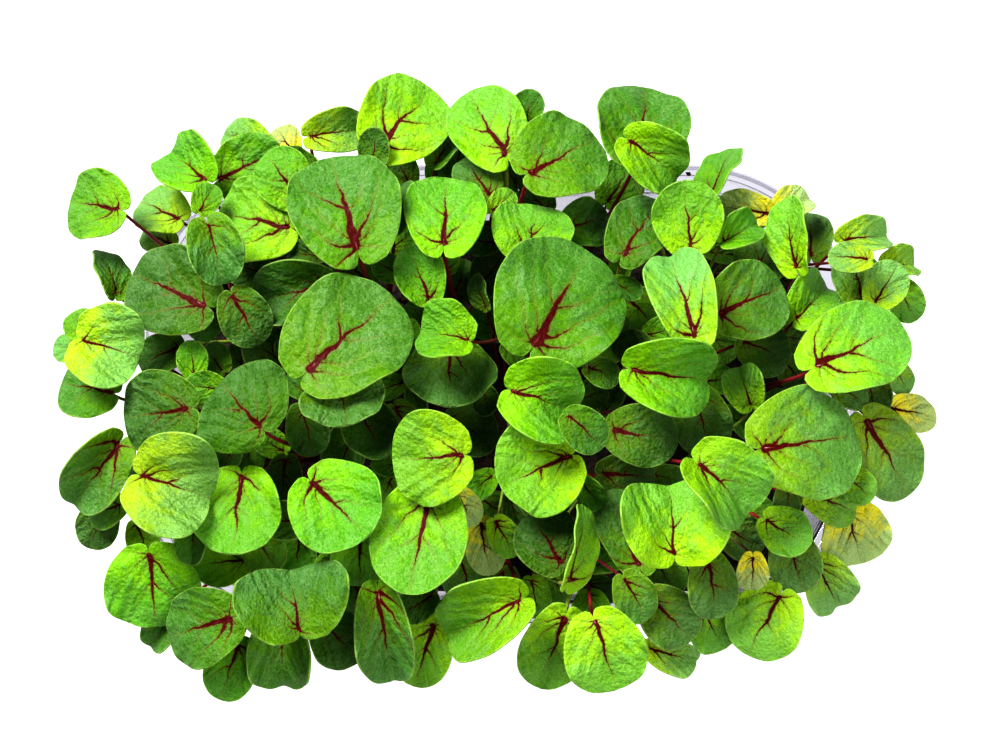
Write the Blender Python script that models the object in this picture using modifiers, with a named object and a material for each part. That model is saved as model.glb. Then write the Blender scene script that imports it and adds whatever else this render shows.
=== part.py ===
"""Red-veined sorrel microgreens standing in a clear, fluted plastic punnet.

The punnet is a thin shell with a lid ledge and a fluted wall. It holds a block of growing medium
with a plain hole for each seedling. Each seedling is one fused body: a short crown, and one to
five petioles that carry round blades. The blades have their places, sizes and attitudes in
SHOWN_LEAVES, and the growth rule below gives each a height and a petiole that keep clear of every
other seedling. Lengths are in millimetres up to the meshes, which are in metres.
"""

import math
import random
from dataclasses import dataclass, replace

import bmesh
import bpy
import numpy as np
from mathutils import Vector
from mathutils.bvhtree import BVHTree

MM = 0.001
SEED = 21

# Punnet
RIM_HALF_X = 75.0
RIM_HALF_Y = 49.0
RIM_CORNER = 34.0
PUNNET_HEIGHT = 45.0
PUNNET_WALL = 0.8
FLANGE_WIDTH = 2.6
LIP_DROP = 3.0
LEDGE_DEPTH = 2.4
LEDGE_WIDTH = 2.2
WALL_LEAN = 6.5
FLUTE_DEPTH = 0.8
FLUTE_START = 8.0
FLUTES = 26
FOOT_RADIUS = 3.0

# Growing medium
MEDIUM_TOP = 30.0
MEDIUM_GAP = 0.5
HOLE_DEPTH = 7.0
HOLE_CLEARANCE = 0.35

# Seedlings
CROWN_RADIUS = 1.0
CROWN_RISE = 1.6
CROWN_PITCH = 15.5
CROWN_JITTER = 2.0
MOST_LEAVES = 5
PETIOLE_RADIUS = 0.6
PETIOLE_END_RADIUS = 0.3
PETIOLE_STEPS = 3
BLADE_THICKNESS = 0.7
BLADE_ROWS = 5
BLADE_COLUMNS = 3
BASE_ANGLE = math.radians(28)
LOBE_DEPTH = 0.13
LOBE_TURN = 2.26
CLEARANCE = 0.22

# Canopy: EYE is the point that the blades' places are read from, and the rise is a low dome
EYE = np.array([0.0, -81.0, 484.0])
CANOPY_MIDDLE = np.array([0.0, 0.0, 66.0])
LOWEST_BLADE = 51.0
LEVEL_RISE = 4.6
DOME_RISE = 7.0
DOME_HALF_X = 90.0
DOME_HALF_Y = 64.0

# Search for a clear place: each try moves a blade off its level and makes it a little smaller
LIFT_STEP = 0.8
LIFT_TRIES = 44
SHRINK = 0.005
PETIOLE_CHOICES = 10
NEAR_CROWNS = 9
CORNERS = ((1, 1), (-1, 1), (-1, -1), (1, -1))

# How a blade is held: pitch lifts its tip, roll lowers its right edge, fold raises both halves
# about the midrib, bend carries the tip down, all in degrees. Hollow is the share of the width
# over which the fold is rounded, and wave the share of the width that the margin rises and falls.
HOLDS = {
    "flat": {"pitch": 2, "roll": 0, "fold": 6, "bend": 24, "hollow": 0.3, "wave": 0.025},
    "dome": {"pitch": 8, "roll": 0, "fold": -14, "bend": 50, "hollow": 0.8, "wave": 0.02},
    "cup": {"pitch": 4, "roll": 0, "fold": 26, "bend": -26, "hollow": 0.8, "wave": 0.035},
    "fold": {"pitch": 4, "roll": 6, "fold": 36, "bend": 34, "hollow": 0.1, "wave": 0.04},
    "side": {"pitch": 10, "roll": 58, "fold": 20, "bend": 26, "hollow": 0.3, "wave": 0.03},
}

# The blades that show from EYE: where the middle is seen, across and up in the picture plane,
# which squarely faces EYE at CANOPY_MIDDLE; then length, width, heading from the petiole to the
# tip in degrees from +X, hold, level in the canopy, and leaf colour.
SHOWN_LEAVES = (
    # Left end
    (-81, 33, 15, 15.5, 165, "flat", 2, "bright"),
    (-68, 32, 14, 12.5, 150, "flat", 1, "pale"),
    (-62.5, 41, 14, 13, 140, "fold", 2, "bright"),
    (-50.5, 41, 16.5, 13, 25, "cup", 1, "bright"),
    (-49, 30, 18.5, 18.5, 165, "flat", 2, "lime"),
    (-51.5, 46.5, 12, 9, 160, "flat", 0, "pale"),
    (-43, 46, 8, 7, 120, "flat", 0, "yellow"),
    (-78, 19.5, 12, 9, 100, "side", 1, "cool"),
    (-68.5, 26.5, 10, 8, 150, "flat", 0, "pale"),
    (-57, 24, 14, 12, 288, "fold", 4, "cool"),
    (-66, 16, 20.5, 19, 155, "flat", 3, "deep"),
    (-59.5, 10, 9.5, 8, 290, "flat", 2, "mid"),
    (-51, 10.5, 14, 12, 300, "flat", 1, "deep"),
    (-78.5, 4.5, 13.5, 18, 342, "fold", 3, "pale"),
    (-84, 9, 8, 7, 120, "flat", 1, "lime"),
    (-86, 4.5, 8.5, 7, 170, "flat", 0, "pale"),
    (-82.5, -3.5, 13.5, 13.5, 165, "flat", 2, "mid"),
    (-68, 3, 11, 9, 200, "flat", 1, "deep"),
    (-61.5, 2, 8, 7, 100, "cup", 2, "bright"),
    (-68.5, -8.5, 16.5, 17.5, 185, "flat", 3, "deep"),
    (-52, -7, 16, 22, 135, "dome", 4, "deep"),
    (-61, -12, 10, 7, 340, "fold", 1, "pale"),
    (-65.5, -23, 16, 22.5, 342, "fold", 4, "pale"),
    (-52.5, -28.5, 18, 18.5, 267, "cup", 3, "bright"),
    (-80.5, -20.5, 18, 13, 235, "fold", 2, "cool"),
    (-80.5, -31, 11, 9, 250, "flat", 0, "cool"),
    (-79, -28, 9.5, 8, 195, "flat", 1, "bright"),
    (-71, -20.5, 10, 8, 190, "flat", 1, "deep"),
    (-71.5, -34, 9, 7, 290, "flat", 0, "lime"),
    (-69.5, -43.5, 17, 20, 275, "flat", 2, "bright"),
    (-67, -51, 14, 9, 230, "fold", 2, "mid"),
    (-60, -51.5, 18, 16, 195, "flat", 3, "mid"),
    (-54, -60, 14, 10.5, 252, "flat", 2, "bright"),
    (-43.5, -56.5, 15, 15, 268, "fold", 2, "mid"),
    (-41, -46.5, 14, 24, 100, "fold", 4, "cool"),
    (-47.5, -35.5, 11, 9, 300, "flat", 2, "lime"),
    # Middle, back to front
    (-31, 33, 25, 23, 105, "flat", 4, "mid"),
    (-32.5, 47.5, 14, 10, 10, "fold", 1, "pale"),
    (-19, 50.5, 20.5, 19, 50, "flat", 2, "lime"),
    (-2.5, 49, 20.5, 16.5, 118, "flat", 2, "lime"),
    (12.5, 43, 20, 19.5, 33, "flat", 3, "mid"),
    (-41.5, 15.5, 17, 14, 190, "fold", 2, "deep"),
    (-30.5, 7, 26, 25, 45, "flat", 4, "mid"),
    (-11, 31.5, 19, 17, 88, "flat", 3, "bright"),
    (-16, 19, 13, 11.5, 110, "cup", 2, "bright"),
    (-11, 7, 11, 13, 165, "fold", 4, "bright"),
    (-10, -1, 14, 20, 270, "cup", 2, "cool"),
    (-8, 18, 12, 10, 70, "flat", 0, "deep"),
    (-4, 15.5, 8, 6, 120, "side", 1, "cool"),
    (6.5, 28, 14, 17.5, 75, "flat", 3, "bright"),
    (17.5, 29.5, 11, 11, 20, "flat", 1, "deep"),
    (-4.5, 38.5, 13, 10, 120, "flat", 1, "cool"),
    (0.5, 33.5, 8, 6, 45, "flat", 1, "lime"),
    (12, 14, 27, 27, 60, "flat", 4, "mid"),
    (8.5, -6, 15.5, 17, 342, "fold", 4, "bright"),
    (7.5, -20, 17, 20.5, 205, "cup", 3, "lime"),
    (4, 3.5, 9, 8, 330, "flat", 1, "mid"),
    (20.5, -0.5, 9, 7, 340, "flat", 1, "mid"),
    (17, -12, 13, 11, 320, "flat", 2, "mid"),
    (-31.5, -6, 13, 18, 285, "cup", 3, "cool"),
    (-26, -12, 14, 12, 300, "cup", 2, "deep"),
    (-19, -11, 10, 8, 300, "flat", 1, "cool"),
    (-38.5, -12, 11, 9, 285, "flat", 1, "deep"),
    (-6, -12, 14, 13, 330, "flat", 1, "deep"),
    (-14, -17.5, 16, 19.5, 185, "flat", 4, "lime"),
    (-32.5, -27.5, 18, 19.5, 315, "cup", 4, "bright"),
    (-16, -34, 23, 19.5, 260, "cup", 4, "bright"),
    (-19, -44, 16, 14.5, 275, "cup", 2, "lime"),
    (-7, -27.5, 9, 7, 300, "flat", 1, "yellow"),
    (-3, -35.5, 12, 8, 280, "flat", 1, "yellow"),
    (1, -33.5, 9.5, 7, 300, "flat", 2, "lime"),
    (9.5, -34, 14, 13.5, 120, "flat", 2, "deep"),
    (-3, -49.5, 19, 16.5, 205, "fold", 4, "lime"),
    (-15, -56.5, 15.5, 11, 252, "flat", 2, "lime"),
    (-23, -53, 21, 13, 278, "fold", 3, "cool"),
    (-32, -54, 12, 12, 310, "flat", 2, "deep"),
    (-28, -45, 12, 10, 300, "flat", 1, "deep"),
    (-34, -41, 10, 8, 260, "flat", 1, "mid"),
    (0, -44, 11, 10, 260, "flat", 0, "deep"),
    (7, -45.5, 9, 7, 280, "flat", 0, "lime"),
    (11.5, -43, 9, 8, 290, "flat", 1, "lime"),
    (10.5, -56, 18, 13, 250, "flat", 3, "lime"),
    (21, -56.5, 16.5, 16.5, 288, "flat", 4, "lime"),
    (15.5, -35.5, 17, 12, 68, "side", 4, "lime"),
    (18, -24.5, 8, 6, 310, "fold", 2, "bright"),
    (20, -44, 9, 8, 330, "flat", 3, "deep"),
    # Right end
    (28.5, 49.5, 22, 20, 80, "flat", 2, "mid"),
    (30.5, 42.5, 15, 14, 325, "fold", 3, "lime"),
    (44, 39.5, 13.5, 12, 72, "side", 2, "bright"),
    (28, 28.5, 18.5, 13, 60, "flat", 2, "deep"),
    (37.5, 30.5, 15, 15, 95, "cup", 3, "lime"),
    (48, 27.5, 10, 9, 30, "fold", 3, "bright"),
    (52.5, 22.5, 14, 12, 60, "flat", 1, "deep"),
    (58, 27, 16.5, 11, 107, "side", 3, "lime"),
    (58.5, 33, 10, 8, 30, "fold", 2, "yellow"),
    (49, 32, 12, 8, 170, "fold", 1, "yellow"),
    (62, 27, 12, 10, 90, "flat", 0, "cool"),
    (73, 26.5, 12.5, 9, 15, "fold", 2, "pale"),
    (70, 22.5, 11, 8, 170, "flat", 1, "pale"),
    (80, 21, 9.5, 8.5, 15, "fold", 2, "lime"),
    (71.5, 18.5, 13, 10.5, 100, "flat", 2, "mid"),
    (77, 17, 10.5, 9.5, 60, "cup", 3, "pale"),
    (81, 14, 10, 8, 300, "flat", 1, "bright"),
    (71.5, 4.5, 24, 18.5, 27, "flat", 4, "bright"),
    (62.5, 13.5, 13.5, 12, 45, "fold", 2, "bright"),
    (50, 14, 17, 16.5, 25, "flat", 3, "mid"),
    (36.5, 15, 23, 14.5, 105, "fold", 4, "pale"),
    (43.5, 5.5, 12.5, 10, 300, "flat", 2, "lime"),
    (53, 4, 12, 11, 340, "flat", 1, "deep"),
    (34, -1, 19, 17, 352, "fold", 4, "bright"),
    (49, -3.5, 9.5, 9, 110, "fold", 2, "bright"),
    (62, -14.5, 24.5, 23, 10, "flat", 4, "mid"),
    (77.5, -17, 21, 15, 305, "flat", 2, "mid"),
    (82.5, -8.5, 12, 8, 352, "flat", 1, "yellow"),
    (80, -1.5, 8, 6, 300, "flat", 1, "pale"),
    (66.5, -26.5, 13, 10, 345, "flat", 2, "lime"),
    (71, -33, 13, 15, 285, "flat", 1, "yellow"),
    (65.5, -43, 13, 11, 300, "fold", 1, "pale"),
    (59, -38.5, 13.5, 11, 285, "flat", 2, "mid"),
    (57, -32.5, 11, 10.5, 325, "cup", 3, "bright"),
    (53, -50.5, 15.5, 15.5, 240, "flat", 2, "lime"),
    (50.5, -40.5, 10, 8, 270, "flat", 0, "yellow"),
    (44.5, -23, 18, 19, 320, "fold", 4, "bright"),
    (34.5, -30.5, 16, 23.5, 92, "fold", 4, "lime"),
    (25, -32, 19, 11, 110, "flat", 2, "mid"),
    (33, -41, 12, 11, 300, "flat", 2, "lime"),
    (34, -49.5, 13.5, 12, 315, "flat", 2, "deep"),
    (42.5, -43.5, 13.5, 10.5, 280, "flat", 3, "deep"),
    (42.5, -51.5, 11.5, 10.5, 300, "flat", 1, "bright"),
    (34.5, -57, 12, 8, 340, "fold", 1, "pale"),
    (28.5, -13, 16, 14, 350, "flat", 1, "deep"),
    (40.5, -10.5, 14, 12, 285, "flat", 2, "deep"),
    (26.5, 4.5, 9, 8, 140, "flat", 1, "deep"),
    (25.5, -21, 13, 10, 0, "flat", 1, "deep"),
    (27, -45.5, 12, 10, 300, "flat", 1, "mid"),
    (41, -36.5, 10, 7, 50, "side", 2, "cool"),
    (48.5, -33.5, 11, 10, 330, "flat", 2, "deep"),
)

LEAF_COLOURS = {
    "bright": (0.16, 0.42, 0.03),
    "mid": (0.12, 0.33, 0.04),
    "deep": (0.05, 0.20, 0.02),
    "lime": (0.36, 0.60, 0.05),
    "yellow": (0.62, 0.70, 0.08),
    "pale": (0.28, 0.55, 0.14),
    "cool": (0.12, 0.30, 0.10),
}


@dataclass
class Leaf:
    """A blade and the petiole that carries it, with angles in radians and lengths in millimetres."""

    seen: tuple
    middle: np.ndarray
    length: float
    width: float
    heading: float
    pitch: float
    roll: float
    fold: float
    bend: float
    hollow: float
    wave: float
    phase: float
    level: int
    colour: str
    petiole: np.ndarray | None = None


@dataclass
class Crown:
    """The foot of a seedling, which stands in its hole in the medium."""

    x: float
    y: float
    leaves: list


# Outlines of the punnet and the medium


def wall_half_sizes(z):
    """Half sizes and corner radius of the wall's inner face at a height, from its lean."""
    inset = FLANGE_WIDTH + LEDGE_WIDTH + WALL_LEAN * (1 - z / PUNNET_HEIGHT)
    return RIM_HALF_X - inset, RIM_HALF_Y - inset, RIM_CORNER - inset


def rounded_outline(half_x, half_y, radius, count):
    """Points at even steps round a rectangle with round corners, and their outward directions.

    Each of the four sides is its straight run followed by its quarter turn about the corner's
    centre, so a point is that centre plus the radius outwards, less what is left of the straight.
    """
    inner = np.array([half_x - radius, half_y - radius])
    straights = 2 * np.array([inner[1], inner[0], inner[1], inner[0]])
    starts = np.concatenate([[0], np.cumsum(straights + math.pi * radius / 2)])
    run = starts[-1] * np.arange(count) / count
    side = np.searchsorted(starts, run, side="right") - 1
    left = straights[side] - (run - starts[side])
    turned = side * math.pi / 2 + np.clip(-left, 0, None) / radius
    outwards = np.stack([np.cos(turned), np.sin(turned)], axis=1)
    along = np.stack([-np.sin(side * math.pi / 2), np.cos(side * math.pi / 2)], axis=1)
    centres = np.array([(1, 1), (-1, 1), (-1, -1), (1, -1)])[side] * inner
    return centres + outwards * radius - along * np.clip(left, 0, None)[:, None], outwards


def punnet_sections():
    """The punnet's upper and inner face, from the lip over the ledge and down to the foot.

    Each section is an inset from the rim, a height and the share of the flutes' depth there.
    """
    ledge = FLANGE_WIDTH + LEDGE_WIDTH
    ledge_height = PUNNET_HEIGHT - LEDGE_DEPTH
    lean = WALL_LEAN / PUNNET_HEIGHT
    foot_top = PUNNET_WALL + FOOT_RADIUS
    return (
        (0.0, PUNNET_HEIGHT - LIP_DROP, 0),
        (0.0, PUNNET_HEIGHT, 0),
        (FLANGE_WIDTH, PUNNET_HEIGHT, 0),
        (FLANGE_WIDTH + 0.3, ledge_height, 0),
        (ledge, ledge_height, 0),
        (ledge + lean * FLUTE_START, PUNNET_HEIGHT - FLUTE_START, 1),
        (ledge + lean * (PUNNET_HEIGHT - foot_top), foot_top, 1),
        (ledge + WALL_LEAN + FOOT_RADIUS, PUNNET_WALL, 0),
    )


# Blades


def blade_surface(leaf, turn, across):
    """A blade's middle surface over turns from the base lobes to the tip, and shares across.

    The half width follows a circle's sine from the base lobes to the tip. The fold turns both
    halves up about the midrib, and the bend carries the surface along a circular arc.
    """
    share = (math.cos(BASE_ANGLE) - np.cos(turn)) / (1 + math.cos(BASE_ANGLE))
    lobe = np.clip(1 - share / 0.35, 0, 1) ** 1.5
    lobe = lobe * np.sin(LOBE_TURN * np.abs(across)) / math.sin(LOBE_TURN)
    x = across * leaf.width / 2 * np.sin(turn)
    y = leaf.length * (share - LOBE_DEPTH * lobe)
    rounded = leaf.hollow * leaf.width / 2
    rise = np.sqrt(x**2 + rounded**2) - rounded
    z = rise * math.sin(leaf.fold)
    margin = leaf.wave * leaf.width * across**2 * np.sin(turn)
    z = z + margin * np.sin(2.6 * turn + leaf.phase + 1.9 * np.sign(across))
    x = x * math.cos(leaf.fold)
    curl = leaf.bend * y / leaf.length
    radius = leaf.length / leaf.bend
    flat = np.stack(
        [x, radius * np.sin(curl) + z * np.sin(curl), z * np.cos(curl) - radius * (1 - np.cos(curl))],
        axis=-1,
    )
    return flat @ turned_by(leaf).T


def turned_by(leaf):
    """The rotation that rolls a blade about its midrib, pitches it and turns it to its heading."""
    roll_cos, roll_sin = math.cos(leaf.roll), math.sin(leaf.roll)
    pitch_cos, pitch_sin = math.cos(leaf.pitch), math.sin(leaf.pitch)
    turn = leaf.heading - math.pi / 2
    head_cos, head_sin = math.cos(turn), math.sin(turn)
    roll = np.array([[roll_cos, 0, roll_sin], [0, 1, 0], [-roll_sin, 0, roll_cos]])
    pitch = np.array([[1, 0, 0], [0, pitch_cos, -pitch_sin], [0, pitch_sin, pitch_cos]])
    head = np.array([[head_cos, -head_sin, 0], [head_sin, head_cos, 0], [0, 0, 1]])
    return head @ pitch @ roll


def attachment(leaf):
    """Where the petiole meets the blade, so that the outline's middle is at the leaf's middle."""
    share = (1 - LOBE_DEPTH) / 2
    turn = math.acos(math.cos(BASE_ANGLE) - share * (1 + math.cos(BASE_ANGLE)))
    return leaf.middle - blade_surface(leaf, np.array([[turn]]), np.array([[0.0]]))[0, 0]


def blade_grid(leaf, rows, columns):
    """The blade's middle surface in its place on an even grid, with the tip as its last row."""
    turn = np.linspace(BASE_ANGLE, math.pi, rows)[:, None]
    across = np.linspace(-1, 1, columns)[None, :]
    return blade_surface(leaf, turn, across) + attachment(leaf)


def grid_triangles(rows, columns):
    """Both triangles of each cell of a grid, split the same way all over."""
    first = np.arange(rows * columns).reshape(rows, columns)
    low, right = first[:-1, :-1].ravel(), first[:-1, 1:].ravel()
    up, far = first[1:, :-1].ravel(), first[1:, 1:].ravel()
    return np.concatenate([np.stack([low, right, far], 1), np.stack([low, far, up], 1)])


def shell_triangles(rows, columns):
    """Triangles of two like grids, each with its last row as one point, and of their rims' band."""
    count = (rows - 1) * columns + 1
    faces = np.minimum(grid_triangles(rows, columns), count - 1)
    faces = faces[(faces != np.roll(faces, 1, axis=1)).all(axis=1)]
    right_side = np.arange(2, rows) * columns - 1
    left_side = np.arange(rows - 2, 0, -1) * columns
    rim = np.concatenate([np.arange(columns), right_side, [count - 1], left_side])
    after = np.roll(rim, -1)
    below, after_below = rim + count, after + count
    band = [np.stack([below, after_below, after], 1), np.stack([below, after, rim], 1)]
    return np.concatenate([faces, faces[:, ::-1] + count, *band])


def grid_normals(grid):
    """Unit normals of a grid, from the differences between its neighbours."""
    along, over = np.gradient(grid, axis=0), np.gradient(grid, axis=1)
    over[-1] = over[-2]
    normals = np.cross(over, along)
    return normals / np.maximum(np.linalg.norm(normals, axis=-1, keepdims=True), 1e-9)


def blade_tree(leaf):
    """The blade's closed shell, set out by the clearance, to test what would cross it."""
    grid = blade_grid(leaf, BLADE_ROWS, BLADE_COLUMNS)
    normals = grid_normals(grid)
    normals[-1] = normals[-1].mean(axis=0)
    offset = normals * (BLADE_THICKNESS / 2 + CLEARANCE)
    count = (BLADE_ROWS - 1) * BLADE_COLUMNS + 1
    upper = (grid + offset).reshape(-1, 3)[:count]
    lower = (grid - offset).reshape(-1, 3)[:count]
    return probe(np.concatenate([upper, lower]), shell_triangles(BLADE_ROWS, BLADE_COLUMNS))


# Petioles


def petiole_line(start, leave, arrive, end, steps):
    """Points along a cubic Bezier curve."""
    t = np.linspace(0, 1, steps + 1)[:, None]
    near, far = (1 - t) ** 3 * start + 3 * (1 - t) ** 2 * t * leave, t**3 * end
    return near + 3 * (1 - t) * t**2 * arrive + far


def carried_sides(along):
    """Unit directions square to the line at each station, carried on from the first one."""
    side = np.cross(along[0], (0.3, 1.0, 0.1))
    sides = []
    for direction in along:
        side = side - direction * (side @ direction)
        side = side / math.sqrt(side @ side)
        sides.append(side)
    return np.array(sides)


def petiole_tree(points, radius):
    """A square tube round the line, to test what would cross it."""
    along = np.gradient(points, axis=0)
    along /= np.linalg.norm(along, axis=1, keepdims=True)
    side = carried_sides(along)
    other = np.cross(along, side)
    ring = np.stack([points + radius * (a * side + b * other) for a, b in CORNERS], axis=1)
    ring = np.concatenate([ring, ring[:, :1]], axis=1)
    return probe(ring.reshape(-1, 3), grid_triangles(len(points), len(CORNERS) + 1))


def probe(points, faces):
    """A search tree of triangles, with its lowest and highest corners."""
    tree = BVHTree.FromPolygons(points.tolist(), faces.tolist(), all_triangles=True)
    return tree, points.min(axis=0), points.max(axis=0)


def crosses(one, others):
    """Whether a probe meets any of the others."""
    tree, low, high = one
    for other_tree, other_low, other_high in others:
        if (low < other_high).all() and (other_low < high).all() and tree.overlap(other_tree):
            return True
    return False


# Growth


def seen_at(place, height):
    """The point at a height that shows from EYE at a place in the picture plane."""
    ahead = (CANOPY_MIDDLE - EYE) / np.linalg.norm(CANOPY_MIDDLE - EYE)
    right = np.array([1.0, 0.0, 0.0])
    point = CANOPY_MIDDLE + place[0] * right + place[1] * np.cross(right, ahead)
    share = (EYE[2] - height) / (EYE[2] - point[2])
    return EYE + (point - EYE) * share


def read_leaf(row, draw):
    """A leaf from its row of SHOWN_LEAVES, with a small seeded variation in how it is held."""
    across, up, length, width, heading, hold, level, colour = row
    held = HOLDS[hold]
    radial = math.atan2(up / DOME_HALF_Y, across / DOME_HALF_X)
    distance = min(1.0, math.hypot(across / DOME_HALF_X, up / DOME_HALF_Y))
    outward = math.cos(math.radians(heading) - radial) * distance
    dome = DOME_RISE * (1 - distance**2)
    return Leaf(
        seen=(across, up),
        middle=seen_at((across, up), LOWEST_BLADE + LEVEL_RISE * level + dome),
        length=length / (1 + LOBE_DEPTH),
        width=width / math.cos(math.radians(held["fold"] * 0.8)),
        heading=math.radians(heading),
        pitch=math.radians(held["pitch"] - 12 * outward + draw.uniform(-7, 7)),
        roll=math.radians(held["roll"] * draw.choice((-1, 1)) + draw.uniform(-9, 9)),
        fold=math.radians(held["fold"] + draw.uniform(-5, 5)),
        bend=math.radians(held["bend"] + draw.uniform(1, 10)),
        hollow=held["hollow"],
        wave=held["wave"],
        phase=draw.uniform(0, 2 * math.pi),
        level=level,
        colour=colour,
    )


def trial(leaf, attempt, draw):
    """The leaf as first read, then further and further from its level, a little smaller too."""
    side = 1 if attempt % 2 else -1
    lift = LIFT_STEP * ((attempt + 1) // 2) * side
    size = 1 - SHRINK * attempt
    sway = 0.01 * attempt
    return replace(
        leaf,
        middle=seen_at(leaf.seen, leaf.middle[2] + lift),
        length=leaf.length * size,
        width=leaf.width * size,
        pitch=leaf.pitch + draw.uniform(-sway, sway),
        roll=leaf.roll + draw.uniform(-sway, sway),
    )


def crown_places(draw):
    """Crowns on a jittered triangular lattice inside the medium's top face."""
    half_x, half_y, radius = wall_half_sizes(MEDIUM_TOP)
    half_x, half_y, radius = half_x - 5, half_y - 5, radius - 5
    crowns = []
    row_pitch = CROWN_PITCH * math.sqrt(3) / 2
    rows = int(half_y / row_pitch)
    for row in range(-rows, rows + 1):
        shift = CROWN_PITCH / 2 if row % 2 else 0.0
        for column in range(-8, 9):
            x = column * CROWN_PITCH + shift + draw.uniform(-1, 1) * CROWN_JITTER
            y = row * row_pitch + draw.uniform(-1, 1) * CROWN_JITTER
            over_x = max(0.0, abs(x) - (half_x - radius))
            over_y = max(0.0, abs(y) - (half_y - radius))
            if math.hypot(over_x, over_y) <= radius:
                crowns.append(Crown(x, y, []))
    return crowns


def petiole_choices(leaf, crown, attach, draw):
    """Lines from a crown to the blade's attachment, from the plainest to the most bent."""
    foot = np.array([crown.x, crown.y, MEDIUM_TOP + CROWN_RISE * 0.3])
    direction = turned_by(leaf) @ np.array([0.0, 1.0, 0.0])
    rise = attach[2] - foot[2]
    lean = attach[:2] - foot[:2]
    outward = lean / max(math.hypot(*lean), 0.01)
    start = foot + (*(outward * CROWN_RADIUS * 0.5), 0)
    for choice in range(PETIOLE_CHOICES):
        spread = 0.6 * choice
        leave = start + np.array([*(lean * 0.24), rise * 0.45])
        leave[:2] += (draw.uniform(-spread, spread), draw.uniform(-spread, spread))
        arrive = attach - direction * (2.5 + 0.3 * choice) - np.array([0, 0, 0.28 * rise])
        arrive[:2] += (draw.uniform(-spread, spread), draw.uniform(-spread, spread))
        yield petiole_line(start, leave, arrive, attach, PETIOLE_STEPS)


def find_petiole(leaf, crowns, attach, placed, draw):
    """The first crown and line that keep clear of every blade and of the other seedlings."""
    back = np.array([math.cos(leaf.heading), math.sin(leaf.heading)])
    foot = attach[:2] * (0.80, 0.72) - back * 4
    near = sorted(crowns, key=lambda crown: math.hypot(crown.x - foot[0], crown.y - foot[1]))
    for crown in [crown for crown in near if len(crown.leaves) < MOST_LEAVES][:NEAR_CROWNS]:
        others = [item for owner, kind, item in placed if owner is not crown or kind == "blade"]
        for line in petiole_choices(leaf, crown, attach, draw):
            if not crosses(petiole_tree(line, PETIOLE_RADIUS + CLEARANCE), others):
                return crown, line
    return None, None


def grow(draw):
    """Sets every leaf, largest first, at the nearest height where blade and petiole are clear."""
    crowns = crown_places(draw)
    placed = [(crown, "petiole", crown_probe(crown)) for crown in crowns]
    placed.append((None, "rim", rim_probe()))
    leaves = [read_leaf(row, draw) for row in SHOWN_LEAVES]
    left_out = []
    for leaf in sorted(leaves, key=lambda leaf: -leaf.length * leaf.width):
        for attempt in range(LIFT_TRIES):
            grown = trial(leaf, attempt, draw)
            blade = blade_tree(grown)
            if crosses(blade, [item for _, _, item in placed]):
                continue
            crown, grown.petiole = find_petiole(grown, crowns, attachment(grown), placed, draw)
            if crown is not None:
                crown.leaves.append(grown)
                placed.append((crown, "blade", blade))
                tube = petiole_tree(grown.petiole, PETIOLE_RADIUS + CLEARANCE)
                placed.append((crown, "petiole", tube))
                break
        else:
            left_out.append(leaf)
    return [crown for crown in crowns if crown.leaves], left_out


def crown_probe(crown):
    """A crown's probe: a short upright tube with the clearance round it."""
    foot = np.array([crown.x, crown.y, MEDIUM_TOP])
    line = np.stack([foot, foot + (0, 0, CROWN_RISE / 2), foot + (0, 0, CROWN_RISE)])
    return petiole_tree(line, CROWN_RADIUS + CLEARANCE)


def rim_probe():
    """The punnet from its wall to the lip as a band of triangles, set out by the clearance."""
    sections = ((8.2, 30.0), (5.6, 43.3), (3.3, 43.5), (3.0, 46.0), (-1.0, 46.0), (-1.0, 41.0))
    rings = []
    for inset, z in sections:
        outline, _ = rounded_outline(
            RIM_HALF_X - inset, RIM_HALF_Y - inset, RIM_CORNER - inset, 48
        )
        rings.append([(*point, z) for point in [*outline, outline[0]]])
    return probe(np.array(rings).reshape(-1, 3), grid_triangles(len(rings), 49))


# Meshes


def plain_material(name, colour, roughness, alpha=1.0):
    material = bpy.data.materials.new(name)
    material.use_nodes = True
    shader = material.node_tree.nodes["Principled BSDF"]
    shader.inputs["Base Color"].default_value = (*colour, 1.0)
    shader.inputs["Roughness"].default_value = roughness
    shader.inputs["Metallic"].default_value = 0.0
    shader.inputs["Alpha"].default_value = alpha
    return material


def add_object(name, mesh, collection, material=None):
    made = bpy.data.objects.new(name, mesh)
    collection.objects.link(made)
    if material is not None:
        mesh.materials.append(material)
    return made


def lofted(name, rings, close_ends):
    """A mesh through rings of equal counts, from the first to the last, with flat ends or none."""
    shape = bmesh.new()
    made = [[shape.verts.new(point) for point in ring] for ring in rings]
    for lower, upper in zip(made, made[1:]):
        for place in range(len(lower)):
            after = (place + 1) % len(lower)
            shape.faces.new((lower[place], lower[after], upper[after], upper[place]))
    if close_ends[0]:
        shape.faces.new(reversed(made[0]))
    if close_ends[1]:
        shape.faces.new(made[-1])
    bmesh.ops.recalc_face_normals(shape, faces=shape.faces)
    bmesh.ops.triangulate(shape, faces=shape.faces)
    mesh = bpy.data.meshes.new(name)
    shape.to_mesh(mesh)
    shape.free()
    return mesh


def make_punnet(collection, material):
    """The clear shell: an open fluted loft, closed at its foot, given its wall by Solidify."""
    rings = []
    for inset, z, fluted in punnet_sections():
        outline, outwards = rounded_outline(
            RIM_HALF_X - inset, RIM_HALF_Y - inset, RIM_CORNER - inset, 2 * FLUTES
        )
        depth = FLUTE_DEPTH * fluted
        rings.append(
            [
                Vector((*(point + out * depth * (place % 2)), z)) * MM
                for place, (point, out) in enumerate(zip(outline, outwards))
            ]
        )
    punnet = add_object("punnet", lofted("punnet", rings, (False, True)), collection, material)
    wall = punnet.modifiers.new("wall", "SOLIDIFY")
    wall.thickness = PUNNET_WALL * MM
    wall.offset = -1.0
    wall.use_even_offset = True
    return punnet


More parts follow.
